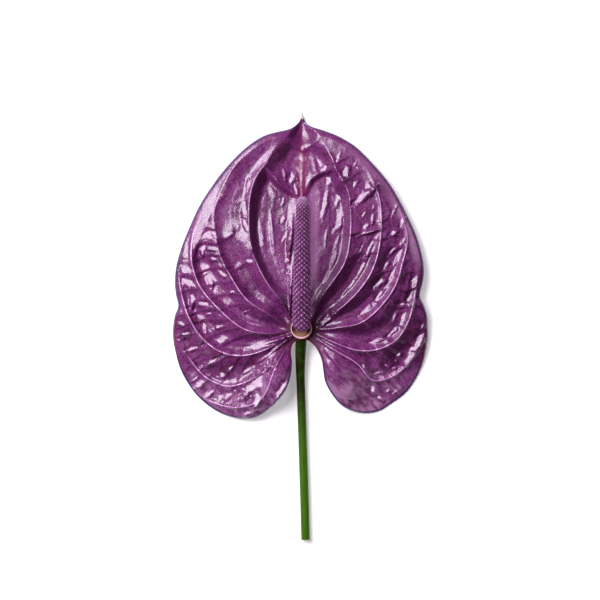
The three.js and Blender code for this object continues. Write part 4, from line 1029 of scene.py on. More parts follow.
def store_away(mesh):
    """Keeps how far each point's slope turns away from the side that the swellings lean to, for the
    painted shade.
    """
    normals = np.zeros(3 * len(mesh.vertices))
    mesh.vertices.foreach_get("normal", normals)
    normals = normals.reshape(-1, 3)
    store(mesh, "away", -normals[:, 0] * LEAN_SIDE[0] - normals[:, 1] * LEAN_SIDE[1])


def spathe_mesh(s):
    """Upper and lower face of the blade, joined along the margin."""
    outline = MARGIN_LINE[:-1]
    rim = len(outline)
    insets = [share * s.edge_round for share in RIM_ROWS]
    upper = triangles_of(outline, *face_points(outline, s.spacing, insets, flat_lines()))
    lower = triangles_of(outline, *face_points(outline, s.lower_spacing, insets, []))
    top, top_fields = blade_face(s, upper[0], rim, 1)
    bottom, bottom_fields = blade_face(s, lower[0], rim, -1)
    lower_faces = lower[1][:, ::-1]
    lower_faces = np.where(lower_faces < rim, lower_faces, lower_faces + len(top) - rim)
    vertices = np.vstack([top, bottom[rim:]])
    mesh = bpy.data.meshes.new("spathe_blade")
    mesh.from_pydata(vertices.tolist(), [], np.vstack([upper[1], lower_faces]).tolist())
    for name in FIELD_NAMES:
        store(mesh, name, np.concatenate([top_fields[name], bottom_fields[name][rim:]]) / MM)
    mesh.shade_smooth()
    store_away(mesh)
    return mesh


# Material nodes

def add_node(tree, kind, inputs=None, **settings):
    """Adds a node, and links or sets its inputs by name or number."""
    node = tree.nodes.new(kind)
    for name, value in settings.items():
        setattr(node, name, value)
    for key, value in (inputs or {}).items():
        if isinstance(value, bpy.types.NodeSocket):
            tree.links.new(value, node.inputs[key])
        else:
            node.inputs[key].default_value = value
    return node


def set_sockets(tree, shader, **sockets):
    """Links or sets a shader's sockets, named in small letters with underscores."""
    for name, value in sockets.items():
        socket = shader.inputs[name.replace("_", " ").title().replace("Ior", "IOR")]
        if isinstance(value, bpy.types.NodeSocket):
            tree.links.new(value, socket)
        else:
            socket.default_value = value


def new_material(name, **sockets):
    """A material with a plain shader whose named sockets are set."""
    material = bpy.data.materials.new(name)
    material.use_nodes = True
    tree = material.node_tree
    shader = tree.nodes["Principled BSDF"]
    set_sockets(tree, shader, **sockets)
    return material, tree, shader


def object_place(tree):
    """Object coordinates in metres, and their three axes apart."""
    place = add_node(tree, "ShaderNodeTexCoord").outputs["Object"]
    axes = add_node(tree, "ShaderNodeSeparateXYZ", {0: place}).outputs
    return place, axes["X"], axes["Y"], axes["Z"]


def stretched(tree, place, scale, turn=0.0):
    """Object coordinates turned about the vertical by an angle in degrees, then stretched."""
    angle = math.radians(turn)
    rotated = add_node(tree, "ShaderNodeVectorRotate", {"Vector": place, "Angle": angle})
    inputs = {"Vector": rotated.outputs[0], "Scale": scale}
    return add_node(tree, "ShaderNodeMapping", inputs).outputs[0]


def noise_at(tree, place, scale, detail=3.0, roughness=0.55, distortion=0.0):
    inputs = {"Vector": place, "Scale": scale, "Detail": detail, "Roughness": roughness,
              "Distortion": distortion}
    return add_node(tree, "ShaderNodeTexNoise", inputs).outputs["Fac"]


def cells_at(tree, place, scale):
    inputs = {"Vector": place, "Scale": scale}
    return add_node(tree, "ShaderNodeTexVoronoi", inputs).outputs["Distance"]


def attribute(tree, name):
    return add_node(tree, "ShaderNodeAttribute", attribute_name=name).outputs["Fac"]


def ramp(tree, value, start, end, low=0.0, high=1.0):
    """Smooth change from low to high as the value goes from start to end."""
    inputs = {"Value": value, 1: start, 2: end, 3: low, 4: high}
    node = add_node(tree, "ShaderNodeMapRange", inputs, interpolation_type="SMOOTHSTEP")
    return node.outputs[0]


def maths(tree, operation, *values):
    inputs = dict(enumerate(values))
    return add_node(tree, "ShaderNodeMath", inputs, operation=operation).outputs[0]


def mask(tree, *changes):
    """Product of smooth changes, each given as [value, start, end, share before, share after]."""
    shares = [ramp(tree, *change) for change in changes]
    product = shares[0]
    for share in shares[1:]:
        product = maths(tree, "MULTIPLY", product, share)
    return product


def blend(tree, share, first, second, mode="MIX"):
    """Mixes two colours."""
    colours = [c if isinstance(c, bpy.types.NodeSocket) else (*c, 1.0) for c in (first, second)]
    inputs = {0: share, 6: colours[0], 7: colours[1]}
    node = add_node(tree, "ShaderNodeMix", inputs, data_type="RGBA", blend_type=mode)
    return node.outputs[2]


def paint(tree, skin, coats):
    """Lays coats of colour over a skin, each given as [value, start, end, share of the colour
    before, share after, colour]."""
    for *change, coat in coats:
        skin = blend(tree, ramp(tree, *change), skin, coat)
    return skin


def add_bumps(tree, shader, layers):
    """Chains height patterns, each with its height in metres, into the shader's normal."""
    normal = None
    for height, metres in layers:
        inputs = {"Height": height, "Distance": metres, "Strength": 1.0}
        if normal is not None:
            inputs["Normal"] = normal
        normal = add_node(tree, "ShaderNodeBump", inputs).outputs[0]
    set_sockets(tree, shader, normal=normal, coat_normal=normal)


# Material of the spathe

def mottled_skin(tree, s, place, broad, fine):
    """Purple skin with lilac, wine and dark patches, streaks and speckles."""
    patches = noise_at(tree, place, 150.0, 3.0, 0.6, 0.6)
    streaks = noise_at(tree, stretched(tree, place, (1.0, 0.35, 1.0)), 420.0, 3.0)
    return paint(tree, s.deep_purple, [
        [broad, 0.3, 0.52, 0.0, 1.0, s.purple],
        [broad, 0.52, 0.75, 0.0, 1.0, s.lilac],
        [patches, 0.48, 0.66, 0.0, 0.55, s.wine],
        [streaks, 0.35, 0.7, 0.0, 0.3, s.lilac],
        [fine, 0.4, 0.52, 0.8, 0.0, s.speckle_and_painted_shade_purple],
        [fine, 0.52, 0.65, 0.0, 0.35, s.lilac],
    ])


def painted_pale_reflections(tree, s, skin, broad, inset):
    """Painted reflections, pale inside the right margin and by the spadix, and painted highlights in
    slanting streaks on the lobes.
    """
    place, x, y, _ = object_place(tree)
    slanting = noise_at(tree, stretched(tree, place, (0.25, 1.0, 1.0), 42.0), 330.0, 3.0)
    # Painted reflection in a strip inside the right margin
    strip = mask(tree, [inset, 1.0, 2.2], [inset, 3.5, 7.0, 1.0, 0.0], [x, 0.015, 0.04],
                 [y, 0.025, 0.04], [y, 0.045, 0.07, 0.9, 0.4], [broad, 0.3, 0.6, 0.6, 1.0])
    # Painted highlight streaks on the lobes, stronger on the right one
    lobes = mask(tree, [y, -0.032, -0.018, 1.0, 0.0], [slanting, 0.42, 0.62, 0.1, 0.8],
                 [x, -0.01, 0.01, 0.55, 1.0])
    # Painted reflection in a strip beside the spadix, on its right
    beside = mask(tree, [x, 0.0042, 0.006], [x, 0.0075, 0.0105, 0.42, 0.0], [y, 0.0, 0.02],
                  [y, 0.066, 0.074, 1.0, 0.0])
    for share in (strip, lobes, beside):
        skin = blend(tree, share, skin, s.painted_reflection_lilac)
    return skin


def painted_shade_on_slopes(tree, s, skin, y, broad):
    """Painted shade: darker skin, in uneven patches, on the slopes that turn away from the upper left.
    """
    # Painted shade, from how far each slope turns away from the key light
    uneven = maths(tree, "MULTIPLY_ADD", broad, 0.5, attribute(tree, "away"))
    shaded = mask(tree, [uneven, 0.42, 0.82, 0.0, 0.7], [y, -0.03, -0.012, 0.3, 1.0])
    return blend(tree, shaded, skin, s.speckle_and_painted_shade_purple)


def vein_lines(tree, s, skin, y):
    """Magenta along the midrib, and pink lines on the net and the veins: the veins' own paler colour
    and partly a painted highlight along their ridges.
    """
    midrib = mask(tree, [attribute(tree, "midrib"), 0.8, 4.0, 0.75, 0.0],
                  [y, 0.084, 0.1, 1.0, 0.3])
    return paint(tree, blend(tree, midrib, skin, s.magenta), [
        [attribute(tree, "net"), 0.05, 0.4, 0.1, 0.0, s.vein_pink_and_painted_highlight],
        [attribute(tree, "minor"), 0.05, 0.3, 0.12, 0.0, s.vein_pink_and_painted_highlight],
        [attribute(tree, "vein"), 0.12, 0.37, 0.82, 0.0, s.vein_pink_and_painted_highlight],
    ])


def margin_and_tip(tree, s, skin, y, inset):
    """Wine red round the receptacle, a violet margin that is wine red at the sinus, a pale tip."""
    rim = paint(tree, s.edge_violet, [
        [y, -0.03, -0.008, 0.0, 1.0, s.edge_wine],
        [y, -0.004, 0.008, 0.0, 1.0, s.edge_violet],
    ])
    return paint(tree, skin, [
        [attribute(tree, "base"), 6.5, 13.0, 0.8, 0.0, s.base_wine],
        [inset, 0.55, 1.35, 0.95, 0.0, rim],
        [y, 0.1052, 0.1068, 0.0, 1.0, s.tip_cream],
        [y, 0.1074, 0.1088, 0.0, 1.0, s.tip_green],
    ])


def spathe_material(s):
    """Waxy purple skin, glossy above and duller and paler below."""
    material, tree, shader = new_material(
        "Waxy purple skin", ior=1.5, coat_weight=1.0, coat_ior=1.5, specular_ior_level=0.35,
        specular_tint=(0.97, 0.92, 1.0, 1.0))
    place, _, y, _ = object_place(tree)
    inset = attribute(tree, "edge")
    under = attribute(tree, "underside")
    broad = noise_at(tree, place, 75.0, 4.0, 0.6)
    pits = noise_at(tree, place, 520.0, 3.0, 0.6)
    fine = noise_at(tree, place, 1500.0, 4.0, 0.65)
    skin = mottled_skin(tree, s, place, broad, fine)
    # Painted reflections and painted highlight streaks
    skin = painted_pale_reflections(tree, s, skin, broad, inset)
    # Painted shade on the slopes turned away from the key light
    skin = painted_shade_on_slopes(tree, s, skin, y, broad)
    # Pink vein lines, partly a painted highlight on the ridges
    skin = vein_lines(tree, s, skin, y)
    skin = margin_and_tip(tree, s, skin, y, inset)
    dull = blend(tree, 0.5, skin, s.lilac)
    skin = blend(tree, maths(tree, "MULTIPLY", under, 0.7), skin, dull)
    rough = maths(tree, "MULTIPLY_ADD", under, 0.15, ramp(tree, broad, 0.3, 0.7, 0.38, 0.5))
    set_sockets(tree, shader, base_color=skin, roughness=rough,
                coat_roughness=ramp(tree, pits, 0.35, 0.65, 0.08, 0.24))
    grooves = noise_at(tree, stretched(tree, place, (1.0, 0.4, 1.0)), 850.0, 3.0)
    cells = cells_at(tree, place, 2300.0)
    add_bumps(tree, shader, [[pits, 0.1 * MM], [grooves, 0.07 * MM], [fine, 0.045 * MM],
                             [cells, 0.02 * MM]])
    return material


# Geometry Nodes trees

def new_tree(name, inputs):
    """A tree with the given named inputs after its geometry, and a geometry output."""
    tree = bpy.data.node_groups.new(name, "GeometryNodeTree")
    face = tree.interface
    face.new_socket("Geometry", in_out="INPUT", socket_type="NodeSocketGeometry")
    for label, kind in inputs:
        face.new_socket(label, in_out="INPUT", socket_type=kind)
    face.new_socket("Geometry", in_out="OUTPUT", socket_type="NodeSocketGeometry")
    return tree, tree.nodes.new("NodeGroupInput"), tree.nodes.new("NodeGroupOutput")


def finish_tree(tree, geometry, material, output):
    """Ends a tree in Realize Instances and Set Material."""
    real = add_node(tree, "GeometryNodeRealizeInstances", {0: geometry}).outputs[0]
    finished = add_node(tree, "GeometryNodeSetMaterial", {"Geometry": real, "Material": material})
    tree.links.new(finished.outputs[0], output.inputs[0])


def apply_tree(carrier, tree, values):
    """Runs a tree on an object and returns the result as a plain mesh."""
    modifier = carrier.modifiers.new(tree.name, "NODES")
    modifier.node_group = tree
    for item in tree.interface.items_tree:
        if item.in_out == "INPUT" and item.name in values:
            modifier[item.identifier] = values[item.name]
    mesh = evaluated_mesh(carrier)
    carrier.modifiers.remove(modifier)
    return mesh


def named(tree, name, kind):
    node = add_node(tree, "GeometryNodeInputNamedAttribute", {"Name": name}, data_type=kind)
    return node.outputs["Attribute"]


def random_value(tree, low, high, seed, shift):
    seeded = add_node(tree, "FunctionNodeIntegerMath", {0: seed, 1: shift}).outputs[0]
    node = add_node(tree, "FunctionNodeRandomValue", {2: low, 3: high, "Seed": seeded})
    return node.outputs[1]


# Spadix: a tapering core under a lattice of florets

SPADIX_BASE = np.array([0.5, -2.6, 15.8]) * MM
SPADIX_TIP = np.array([1.0, 64.6, 41.8]) * MM
SPADIX_LENGTH = float(np.linalg.norm(SPADIX_TIP - SPADIX_BASE))
SPADIX_AXIS = unit(SPADIX_TIP - SPADIX_BASE)
SPADIX_RIGHT = unit(np.cross(SPADIX_AXIS, (0, 0, 1)))
SPADIX_UP = np.cross(SPADIX_RIGHT, SPADIX_AXIS)

# Power of the taper, lengths in millimetres over which the tip and the foot round off, and how
# fully the foot does, as a share
TAPER_POWER = 2.2
TIP_ROUND = 4.6
BASE_ROUND = 4.75
BASE_ROUNDNESS = 0.95

# Rows and florets are no smaller than these radii ask for, the last row stands short of the tip,
# and the slope is taken over a length each way, all in millimetres
LEAST_ROW_RADIUS = 1.5
LEAST_FLORET_RADIUS = 1.3
LAST_ROW = 0.6
SLOPE_LENGTH = 0.3


def spadix_radius(s, along):
    taper = 1 - s.taper * (along / SPADIX_LENGTH) ** TAPER_POWER
    tip = max(0.0, 1 - (SPADIX_LENGTH - along) / (TIP_ROUND * MM))
    base = max(0.0, 1 - along / (BASE_ROUND * MM))
    rounding = math.sqrt(max(0.0, 1 - tip**2)) * math.sqrt(1 - BASE_ROUNDNESS * base**2)
    return s.radius * taper * rounding


def across_spadix(angle):
    return math.cos(angle) * SPADIX_RIGHT + math.sin(angle) * SPADIX_UP


def spadix_point(along, angle, radius):
    return SPADIX_BASE + SPADIX_AXIS * along + across_spadix(angle) * radius


def floret_rows(s):
    """Distances along the spike at which the rows stand, closer where it is thinner."""
    rows = [0.0]
    while True:
        radius = max(spadix_radius(s, rows[-1]), LEAST_ROW_RADIUS * MM)
        after = rows[-1] + math.pi * radius / s.florets_round
        if after > SPADIX_LENGTH - LAST_ROW * MM:
            return rows
        rows.append(after)


def floret_seats(s):
    """Points on the spike with the outward direction and the size of each floret."""
    pitch = 2 * math.pi / s.florets_round
    nearby = SLOPE_LENGTH * MM
    points, outward, sizes = [], [], []
    for row, along in enumerate(floret_rows(s)[1:], start=1):
        radius = spadix_radius(s, along)
        slope = (spadix_radius(s, along + nearby) - spadix_radius(s, along - nearby)) / (2 * nearby)
        for column in range(s.florets_round):
            angle = (column + (row % 2) / 2) * pitch
            points.append(spadix_point(along, angle, radius))
            outward.append(unit(across_spadix(angle) - SPADIX_AXIS * slope))
            sizes.append(pitch * max(radius, LEAST_FLORET_RADIUS * MM) / 2)
    return points, outward, sizes


def seat_mesh(s):
    """A cloud of loose points that carries the florets."""
    points, outward, sizes = floret_seats(s)
    mesh = bpy.data.meshes.new("floret_seats")
    mesh.from_pydata([tuple(p) for p in points], [], [])
    store(mesh, "size", np.array(sizes))
    direction = mesh.attributes.new("outward", "FLOAT_VECTOR", "POINT")
    direction.data.foreach_set("vector", np.array(outward).astype(np.float32).ravel())
    return mesh


# A floret of unit half width. Its last ring is the skirt below its edge
FLORET_RINGS = [0.0, 0.14, 0.24, 0.34, 0.6, 0.84, 1.0, 1.0]
FLORET_SIDES = 12
FLORET_REACH = 0.97
SQUARENESS = 1.35
PILLOW_HEIGHT = 0.46
PIT_DEPTH = 0.13
PIT_AT = 0.3
PIT_WIDTH = 0.1
STIGMA_HEIGHT = 0.16
STIGMA_SHARE = 0.3
SINK = 0.22
WRAP = 0.2
SKIRT = 0.5

# The core under the florets, in millimetres apart from its faces and its place in their colours
CORE_SIDES = 32
CORE_RINGS = 89
CORE_INSET = 0.35
LEAST_CORE_RADIUS = 0.3
CORE_START = 0.15
CORE_END = 0.3
# The core shows in the gaps and takes part of their painted shade
CORE_PETAL = 0.85


def ring_faces(sides, rings):
    """A fan at the first point, and the faces between the rings of points that follow it."""
    faces = [(0, 1 + side, 1 + (side + 1) % sides) for side in range(sides)]
    for ring in range(rings - 1):
        first = 1 + ring * sides
        for side in range(sides):
            after = (side + 1) % sides
            faces.append((first + side, first + sides + side, first + sides + after, first + after))
    return faces


def floret_height(share, x):
    pillow = PILLOW_HEIGHT * (1 - share**3)
    pit = PIT_DEPTH * math.exp(-((share - PIT_AT) / PIT_WIDTH) ** 2)
    stigma = STIGMA_HEIGHT * math.sqrt(max(0, 1 - (share / STIGMA_SHARE) ** 2))
    return pillow - pit + stigma - SINK - WRAP * x * x


def floret_mesh():
    """One floret of unit half width: four tepals round a stigma, wrapped to the spike."""
    vertices, centre_share = [], []
    for ring, share in enumerate(FLORET_RINGS):
        skirt = SKIRT if ring == len(FLORET_RINGS) - 1 else 0
        for side in range(FLORET_SIDES if ring else 1):
            angle = 2 * math.pi * side / FLORET_SIDES
            across, along = math.cos(angle), math.sin(angle)
            squared = abs(across) ** SQUARENESS + abs(along) ** SQUARENESS
            reach = share * FLORET_REACH / squared ** (1 / SQUARENESS)
            x, y = reach * across, reach * along
            vertices.append((x, y, floret_height(share, x) - skirt))
            centre_share.append(share)
    rings = len(FLORET_RINGS) - 1
    faces = ring_faces(FLORET_SIDES, rings)
    last = 1 + (rings - 1) * FLORET_SIDES
    faces.append(tuple(last + side for side in reversed(range(FLORET_SIDES))))
    mesh = bpy.data.meshes.new("floret")
    mesh.from_pydata(vertices, [], faces)
    store(mesh, "petal", np.array(centre_share))
    mesh.shade_smooth()
    return mesh


def core_mesh(s):
    """The closed core under the florets."""
    vertices = [tuple(spadix_point(CORE_START * MM, 0, 0))]
    for ring in range(1, CORE_RINGS + 1):
        along = SPADIX_LENGTH * ring / (CORE_RINGS + 1)
        radius = max(spadix_radius(s, along) - CORE_INSET * MM, LEAST_CORE_RADIUS * MM)
        angles = (2 * math.pi * side / CORE_SIDES for side in range(CORE_SIDES))
        vertices += [tuple(spadix_point(along, angle, radius)) for angle in angles]
    vertices.append(tuple(spadix_point(SPADIX_LENGTH - CORE_END * MM, 0, 0)))
    faces = ring_faces(CORE_SIDES, CORE_RINGS)
    last = 1 + (CORE_RINGS - 1) * CORE_SIDES
    end = len(vertices) - 1
    faces += [(last + (side + 1) % CORE_SIDES, last + side, end) for side in range(CORE_SIDES)]
    mesh = bpy.data.meshes.new("spadix_core")
    mesh.from_pydata(vertices, [], faces)
    store(mesh, "petal", np.full(len(vertices), CORE_PETAL))
    face_outwards(mesh)
    mesh.shade_smooth()
    return mesh


# Random tilts of the florets each way in radians, their random sizes, and what is added to the
# seed for the draws of size and shade
TILT = 0.2
SIZES = (0.86, 1.06)
SIZE_SEED = 5
SHADE_SEED = 9


def floret_tree():
    """Sets a floret on every seat, turned outwards, with small random tilts and sizes."""
    inputs = [("Seats", "NodeSocketObject"), ("Floret", "NodeSocketObject"),
              ("Up", "NodeSocketVector"), ("Seed", "NodeSocketInt"),
              ("Material", "NodeSocketMaterial")]
    tree, entry, output = new_tree("Floret lattice", inputs)
    seats = add_node(tree, "GeometryNodeObjectInfo", {"Object": entry.outputs["Seats"]})
    floret = add_node(tree, "GeometryNodeObjectInfo", {"Object": entry.outputs["Floret"]})
    turn = add_node(tree, "FunctionNodeAxesToRotation",
                    {0: named(tree, "outward", "FLOAT_VECTOR"), 1: entry.outputs["Up"]},
                    primary_axis="Z", secondary_axis="Y")
    tilts = [random_value(tree, -TILT, TILT, entry.outputs["Seed"], axis) for axis in range(3)]
    tilt = add_node(tree, "ShaderNodeCombineXYZ", dict(enumerate(tilts)))
    jitter = add_node(tree, "FunctionNodeEulerToRotation", {0: tilt.outputs[0]})
    tilted = add_node(tree, "FunctionNodeRotateRotation",
                      {0: turn.outputs[0], 1: jitter.outputs[0]}, rotation_space="LOCAL")
    size = maths(tree, "MULTIPLY", named(tree, "size", "FLOAT"),
                 random_value(tree, *SIZES, entry.outputs["Seed"], SIZE_SEED))
    placed = add_node(tree, "GeometryNodeInstanceOnPoints", {
        "Points": seats.outputs["Geometry"], "Instance": floret.outputs["Geometry"],
        "Rotation": tilted.outputs[0], "Scale": size})
    shaded = add_node(tree, "GeometryNodeStoreNamedAttribute", {
        "Geometry": placed.outputs[0], "Name": "shade",
        "Value": random_value(tree, 0.0, 1.0, entry.outputs["Seed"], SHADE_SEED)}, domain="INSTANCE")
    joined = add_node(tree, "GeometryNodeJoinGeometry")
    tree.links.new(shaded.outputs[0], joined.inputs[0])
    tree.links.new(entry.outputs["Geometry"], joined.inputs[0])
    finish_tree(tree, joined.outputs[0], entry.outputs["Material"], output)
    return tree


def spadix_material(s):
    """Satin purple florets with pale stigmas as a painted glint and painted shade in the gaps, paler
    towards the tip.
    """
    material, tree, shader = new_material("Spadix florets", ior=1.45,
                                           specular_tint=(1.0, 0.88, 0.98, 1.0))
    place, _, y, _ = object_place(tree)
    petal = attribute(tree, "petal")
    fine = noise_at(tree, place, 1600.0, 3.0)
    skin = paint(tree, s.purple, [
        [attribute(tree, "shade"), 0.0, 1.0, 0.0, 0.55, s.deep_purple],
        [fine, 0.3, 0.7, 0.0, 0.3, s.deep_purple],
        # Painted shade in the gaps: each floret darker towards its edge, and the core
        [petal, 0.68, 1.0, 0.0, 1.0, s.deep_purple],
        # Painted glint: pale round the stigma in the middle of each floret
        [petal, 0.08, 0.26, 0.9, 0.0, s.pale],
        [y, 0.058, 0.066, 0.0, 0.35, s.pale],
    ])
    set_sockets(tree, shader, base_color=skin, roughness=ramp(tree, petal, 0.15, 0.4, 0.16, 0.42))
    add_bumps(tree, shader, [[fine, 0.05 * MM]])
    return material


def spadix_mesh(s, material):
    """Florets and core as one plain mesh."""
    carrier = link_object("spadix_carrier", core_mesh(s))
    seats = link_object("floret_seats", seat_mesh(s))
    floret = link_object("floret", floret_mesh())
    mesh = apply_tree(carrier, floret_tree(), {
        "Seats": seats, "Floret": floret, "Up": tuple(SPADIX_AXIS), "Seed": s.seed,
        "Material": material})
    for helper in (carrier, seats, floret):
        bpy.data.objects.remove(helper)
    return mesh


# Receptacle

CUP_CENTRE = (0.4, -1.4, 13.2)
CUP_SLOPE = 0.32

# Foot of the cup, side of the boxes that cut it flat, and rise of its dish, in millimetres
CUP_SEAT = 9.3
BOX_SIDE = 20.0
DISH_RISE = 1.4
CUP_FACES = (64, 40)
TOOL_FACES = (48, 32)

# Room for the foot of the spadix: a ball that is drawn out to a tube above a share of its radius
BORE_RADIUS = 4.95
BORE_AT = 4.75
TUBE_FROM = 0.1
TUBE_LENGTH = 30.0

# Rounding of the lip
VOXEL = 0.16
SMOOTHINGS = 12


def mesh_object(name, work):
    mesh = bpy.data.meshes.new(name)
    work.to_mesh(mesh)
    work.free()
    return link_object(name, mesh)


def ball(radius, centre, faces):
    work = bmesh.new()
    bmesh.ops.create_uvsphere(work, u_segments=faces[0], v_segments=faces[1], radius=radius,
                              matrix=Matrix.Translation(centre))
    return work


def box_object(name, centre, slope):
    work = bmesh.new()
    bmesh.ops.create_cube(work, size=BOX_SIDE * MM)
    work.transform(Matrix.Translation(centre) @ Matrix.Rotation(slope, 4, "X"))
    return mesh_object(name, work)


def bore_object():
    """The room that the foot of the spadix takes in the cup."""
    work = ball(BORE_RADIUS * MM, (0, 0, 0), TOOL_FACES)
    for vertex in work.verts:
        if vertex.co.z > TUBE_FROM * BORE_RADIUS * MM:
            vertex.co.z += TUBE_LENGTH * MM
    foot = SPADIX_BASE + SPADIX_AXIS * BORE_AT * MM
    turn = Vector((0, 0, 1)).rotation_difference(Vector(SPADIX_AXIS)).to_matrix().to_4x4()
    work.transform(Matrix.Translation(foot) @ turn)
    return mesh_object("bore", work)


def cup_tools(s, centre):
    """Boxes below and above the cup, and the dish and the bore inside it."""
    slope = math.atan(CUP_SLOPE)
    reach = 0.5 * BOX_SIDE * MM
    below = (centre.x, centre.y, CUP_SEAT * MM - reach)
    front = Vector((centre.x, centre.y - s.radius, s.rim_front))
    above = front + Matrix.Rotation(slope, 4, "X") @ Vector((0, 0, reach))
    dish = centre + Vector((0, 0, DISH_RISE * MM))
    return [box_object("below", below, 0), box_object("above", above, slope),
            mesh_object("dish", ball(s.radius - s.lip_width, dish, TOOL_FACES)), bore_object()]


def receptacle_mesh(s):
    """A low cup, open to the front, whose lip wraps the foot of the spadix."""
    centre = Vector(CUP_CENTRE) * MM
    cup = mesh_object("cup", ball(s.radius, centre, CUP_FACES))
    tools = cup_tools(s, centre)
    for tool in tools:
        cut = cup.modifiers.new(tool.name, "BOOLEAN")
        cut.operation = "DIFFERENCE"
        cut.solver = "EXACT"
        cut.object = tool
    remesh = cup.modifiers.new("Even faces", "REMESH")
    remesh.mode = "VOXEL"
    remesh.voxel_size = VOXEL * MM
    soften = cup.modifiers.new("Soft lip", "SMOOTH")
    soften.iterations = SMOOTHINGS
    soften.factor = 0.5
    mesh = evaluated_mesh(cup)
    for helper in (cup, *tools):
        bpy.data.objects.remove(helper)
    mesh.shade_smooth()
    return mesh


def receptacle_material(s):
    """Pale pink lip over an olive cup, wine red at its foot."""
    material, tree, shader = new_material("Receptacle skin", ior=1.45, roughness=0.4)
    place, _, y, z = object_place(tree)
    mottle = noise_at(tree, place, 500.0, 4.0)
    rim_at_middle = s.rim_front - CUP_SLOPE * (CUP_CENTRE[1] * MM - s.radius)
    rim = maths(tree, "MULTIPLY_ADD", y, CUP_SLOPE, rim_at_middle)
    below_rim = maths(tree, "MULTIPLY_ADD", mottle, 0.2 * MM, maths(tree, "SUBTRACT", rim, z))
    skin = paint(tree, s.olive, [
        [mottle, 0.5, 0.9, 0.0, 0.3, s.wine],
        [below_rim, 0.3 * MM, 0.7 * MM, 1.0, 0.0, s.lip_pink],
        [z, 0.0096, 0.011, 1.0, 0.0, s.wine],
    ])
    set_sockets(tree, shader, base_color=skin)
    add_bumps(tree, shader, [[noise_at(tree, place, 900.0, 3.0), 0.06 * MM]])
    return material


# Stem

STEM_STEP = 0.5

# Shares along the stem over which it thickens under the spathe
THICKENS = (0.75, 0.95)


def stem_carrier(s):
    """A curve along the middle of the stem, with its radius at each point."""
    points = smooth_line(STEM_LINE, STEM_STEP * MM)
    curve = bpy.data.curves.new("stem_line", "CURVE")
    curve.dimensions = "3D"
    spline = curve.splines.new("POLY")
    spline.points.add(len(points) - 1)
    share = smoothstep(*THICKENS, np.linspace(0, 1, len(points)))
    for point, place, radius in zip(spline.points, points, mix(s.radius, s.top_radius, share)):
        point.co = (*place, 1)
        point.radius = radius
    return link_object("stem_line", curve)


def stem_tree():
    """Sweeps a round section along a curve and closes its ends."""
    inputs = [("Sides", "NodeSocketInt"), ("Rings", "NodeSocketInt"),
              ("Material", "NodeSocketMaterial")]
    tree, entry, output = new_tree("Stem sweep", inputs)
    even = add_node(tree, "GeometryNodeResampleCurve", {
        "Curve": entry.outputs["Geometry"], "Count": entry.outputs["Rings"]})
    section = add_node(tree, "GeometryNodeCurvePrimitiveCircle", {
        "Resolution": entry.outputs["Sides"], "Radius": 1.0})
    radius = add_node(tree, "GeometryNodeInputRadius").outputs[0]
    swept = add_node(tree, "GeometryNodeCurveToMesh", {
        "Curve": even.outputs[0], "Profile Curve": section.outputs["Curve"],
        "Scale": radius, "Fill Caps": True})
    smooth = add_node(tree, "GeometryNodeSetShadeSmooth", {"Geometry": swept.outputs[0]})
    finish_tree(tree, smooth.outputs[0], entry.outputs["Material"], output)
    return tree


def stem_mesh(s, material):
    carrier = stem_carrier(s)
    mesh = apply_tree(carrier, stem_tree(), {
        "Sides": s.sides, "Rings": s.rings, "Material": material})
    bpy.data.objects.remove(carrier)
    face_outwards(mesh)
    return mesh


def stem_material(s):
    """Green skin with fine lengthwise streaks, darker under the spathe, pale at the cut."""
    material, tree, shader = new_material("Stem skin", ior=1.45, specular_ior_level=0.2)
    place, _, y, _ = object_place(tree)
    streaks = noise_at(tree, stretched(tree, place, (1.0, 0.03, 1.0)), 2600.0, 3.0)
    mottle = noise_at(tree, place, 260.0, 4.0)
    skin = paint(tree, s.green, [
        [y, -0.072, -0.026, 0.0, 1.0, s.dark_green],
        [streaks, 0.4, 0.7, 0.0, 0.45, s.dark_green],
        [mottle, 0.45, 0.75, 0.0, 0.3, s.green],
        [y, -0.10983, -0.10975, 1.0, 0.0, s.cut_green],
    ])
    set_sockets(tree, shader, base_color=skin, roughness=ramp(tree, streaks, 0.3, 0.7, 0.32, 0.48))
    add_bumps(tree, shader, [[streaks, 0.05 * MM], [mottle, 0.1 * MM]])
    return material


# Pieces and stage

WHITE = (1.0, 1.0, 1.0)
SENSOR_WIDTH = 36.0

# Point under the camera, at the height of the margin, in millimetres
CAMERA_OVER = (-0.26, 13.06, 4.0)

# Lights and the point that they face, in metres
LIGHTS_FACE = (0.0, 0.025, 0.01)
LIGHTS = {
    "key": {"place": (-0.54, 0.41, 0.82), "size": 0.72, "tint": (0.98, 0.92, 1.0), "glossy": True},
    "fill": {"place": (0.72, 0.1, 0.68), "size": 0.36, "tint": WHITE, "glossy": False},
    "overhead": {"place": (-0.4, 0.05, 1.42), "size": 1.3, "tint": WHITE, "glossy": False},
}


def place_piece(name, mesh, node, material):
    """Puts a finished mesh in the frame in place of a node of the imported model."""
    mesh.materials.clear()
    mesh.materials.append(material)
    piece = link_object(name, mesh)
    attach(piece, BODY)
    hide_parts(node)


def floor_material(s):
    """Pale floor with faint broad patches, which gives a little light of its own."""
    material, tree, shader = new_material("Pale floor", roughness=0.7, emission_color=(*WHITE, 1.0),
                                           emission_strength=s.floor_glow)
    patches = noise_at(tree, object_place(tree)[0], 30.0, 3.0)
    paler = tuple(min(1.0, level * 1.03) for level in s.floor_colour)
    set_sockets(tree, shader, base_color=blend(tree, patches, s.floor_colour, paler))
    return material


def add_floor(s):
    half = s.floor_size / 2
    corners = [(-half, -half, 0), (half, -half, 0), (half, half, 0), (-half, half, 0)]
    mesh = bpy.data.meshes.new("floor")
    mesh.from_pydata(corners, [], [(0, 1, 2, 3)])
    mesh.materials.append(floor_material(s))
    link_object("floor", mesh)


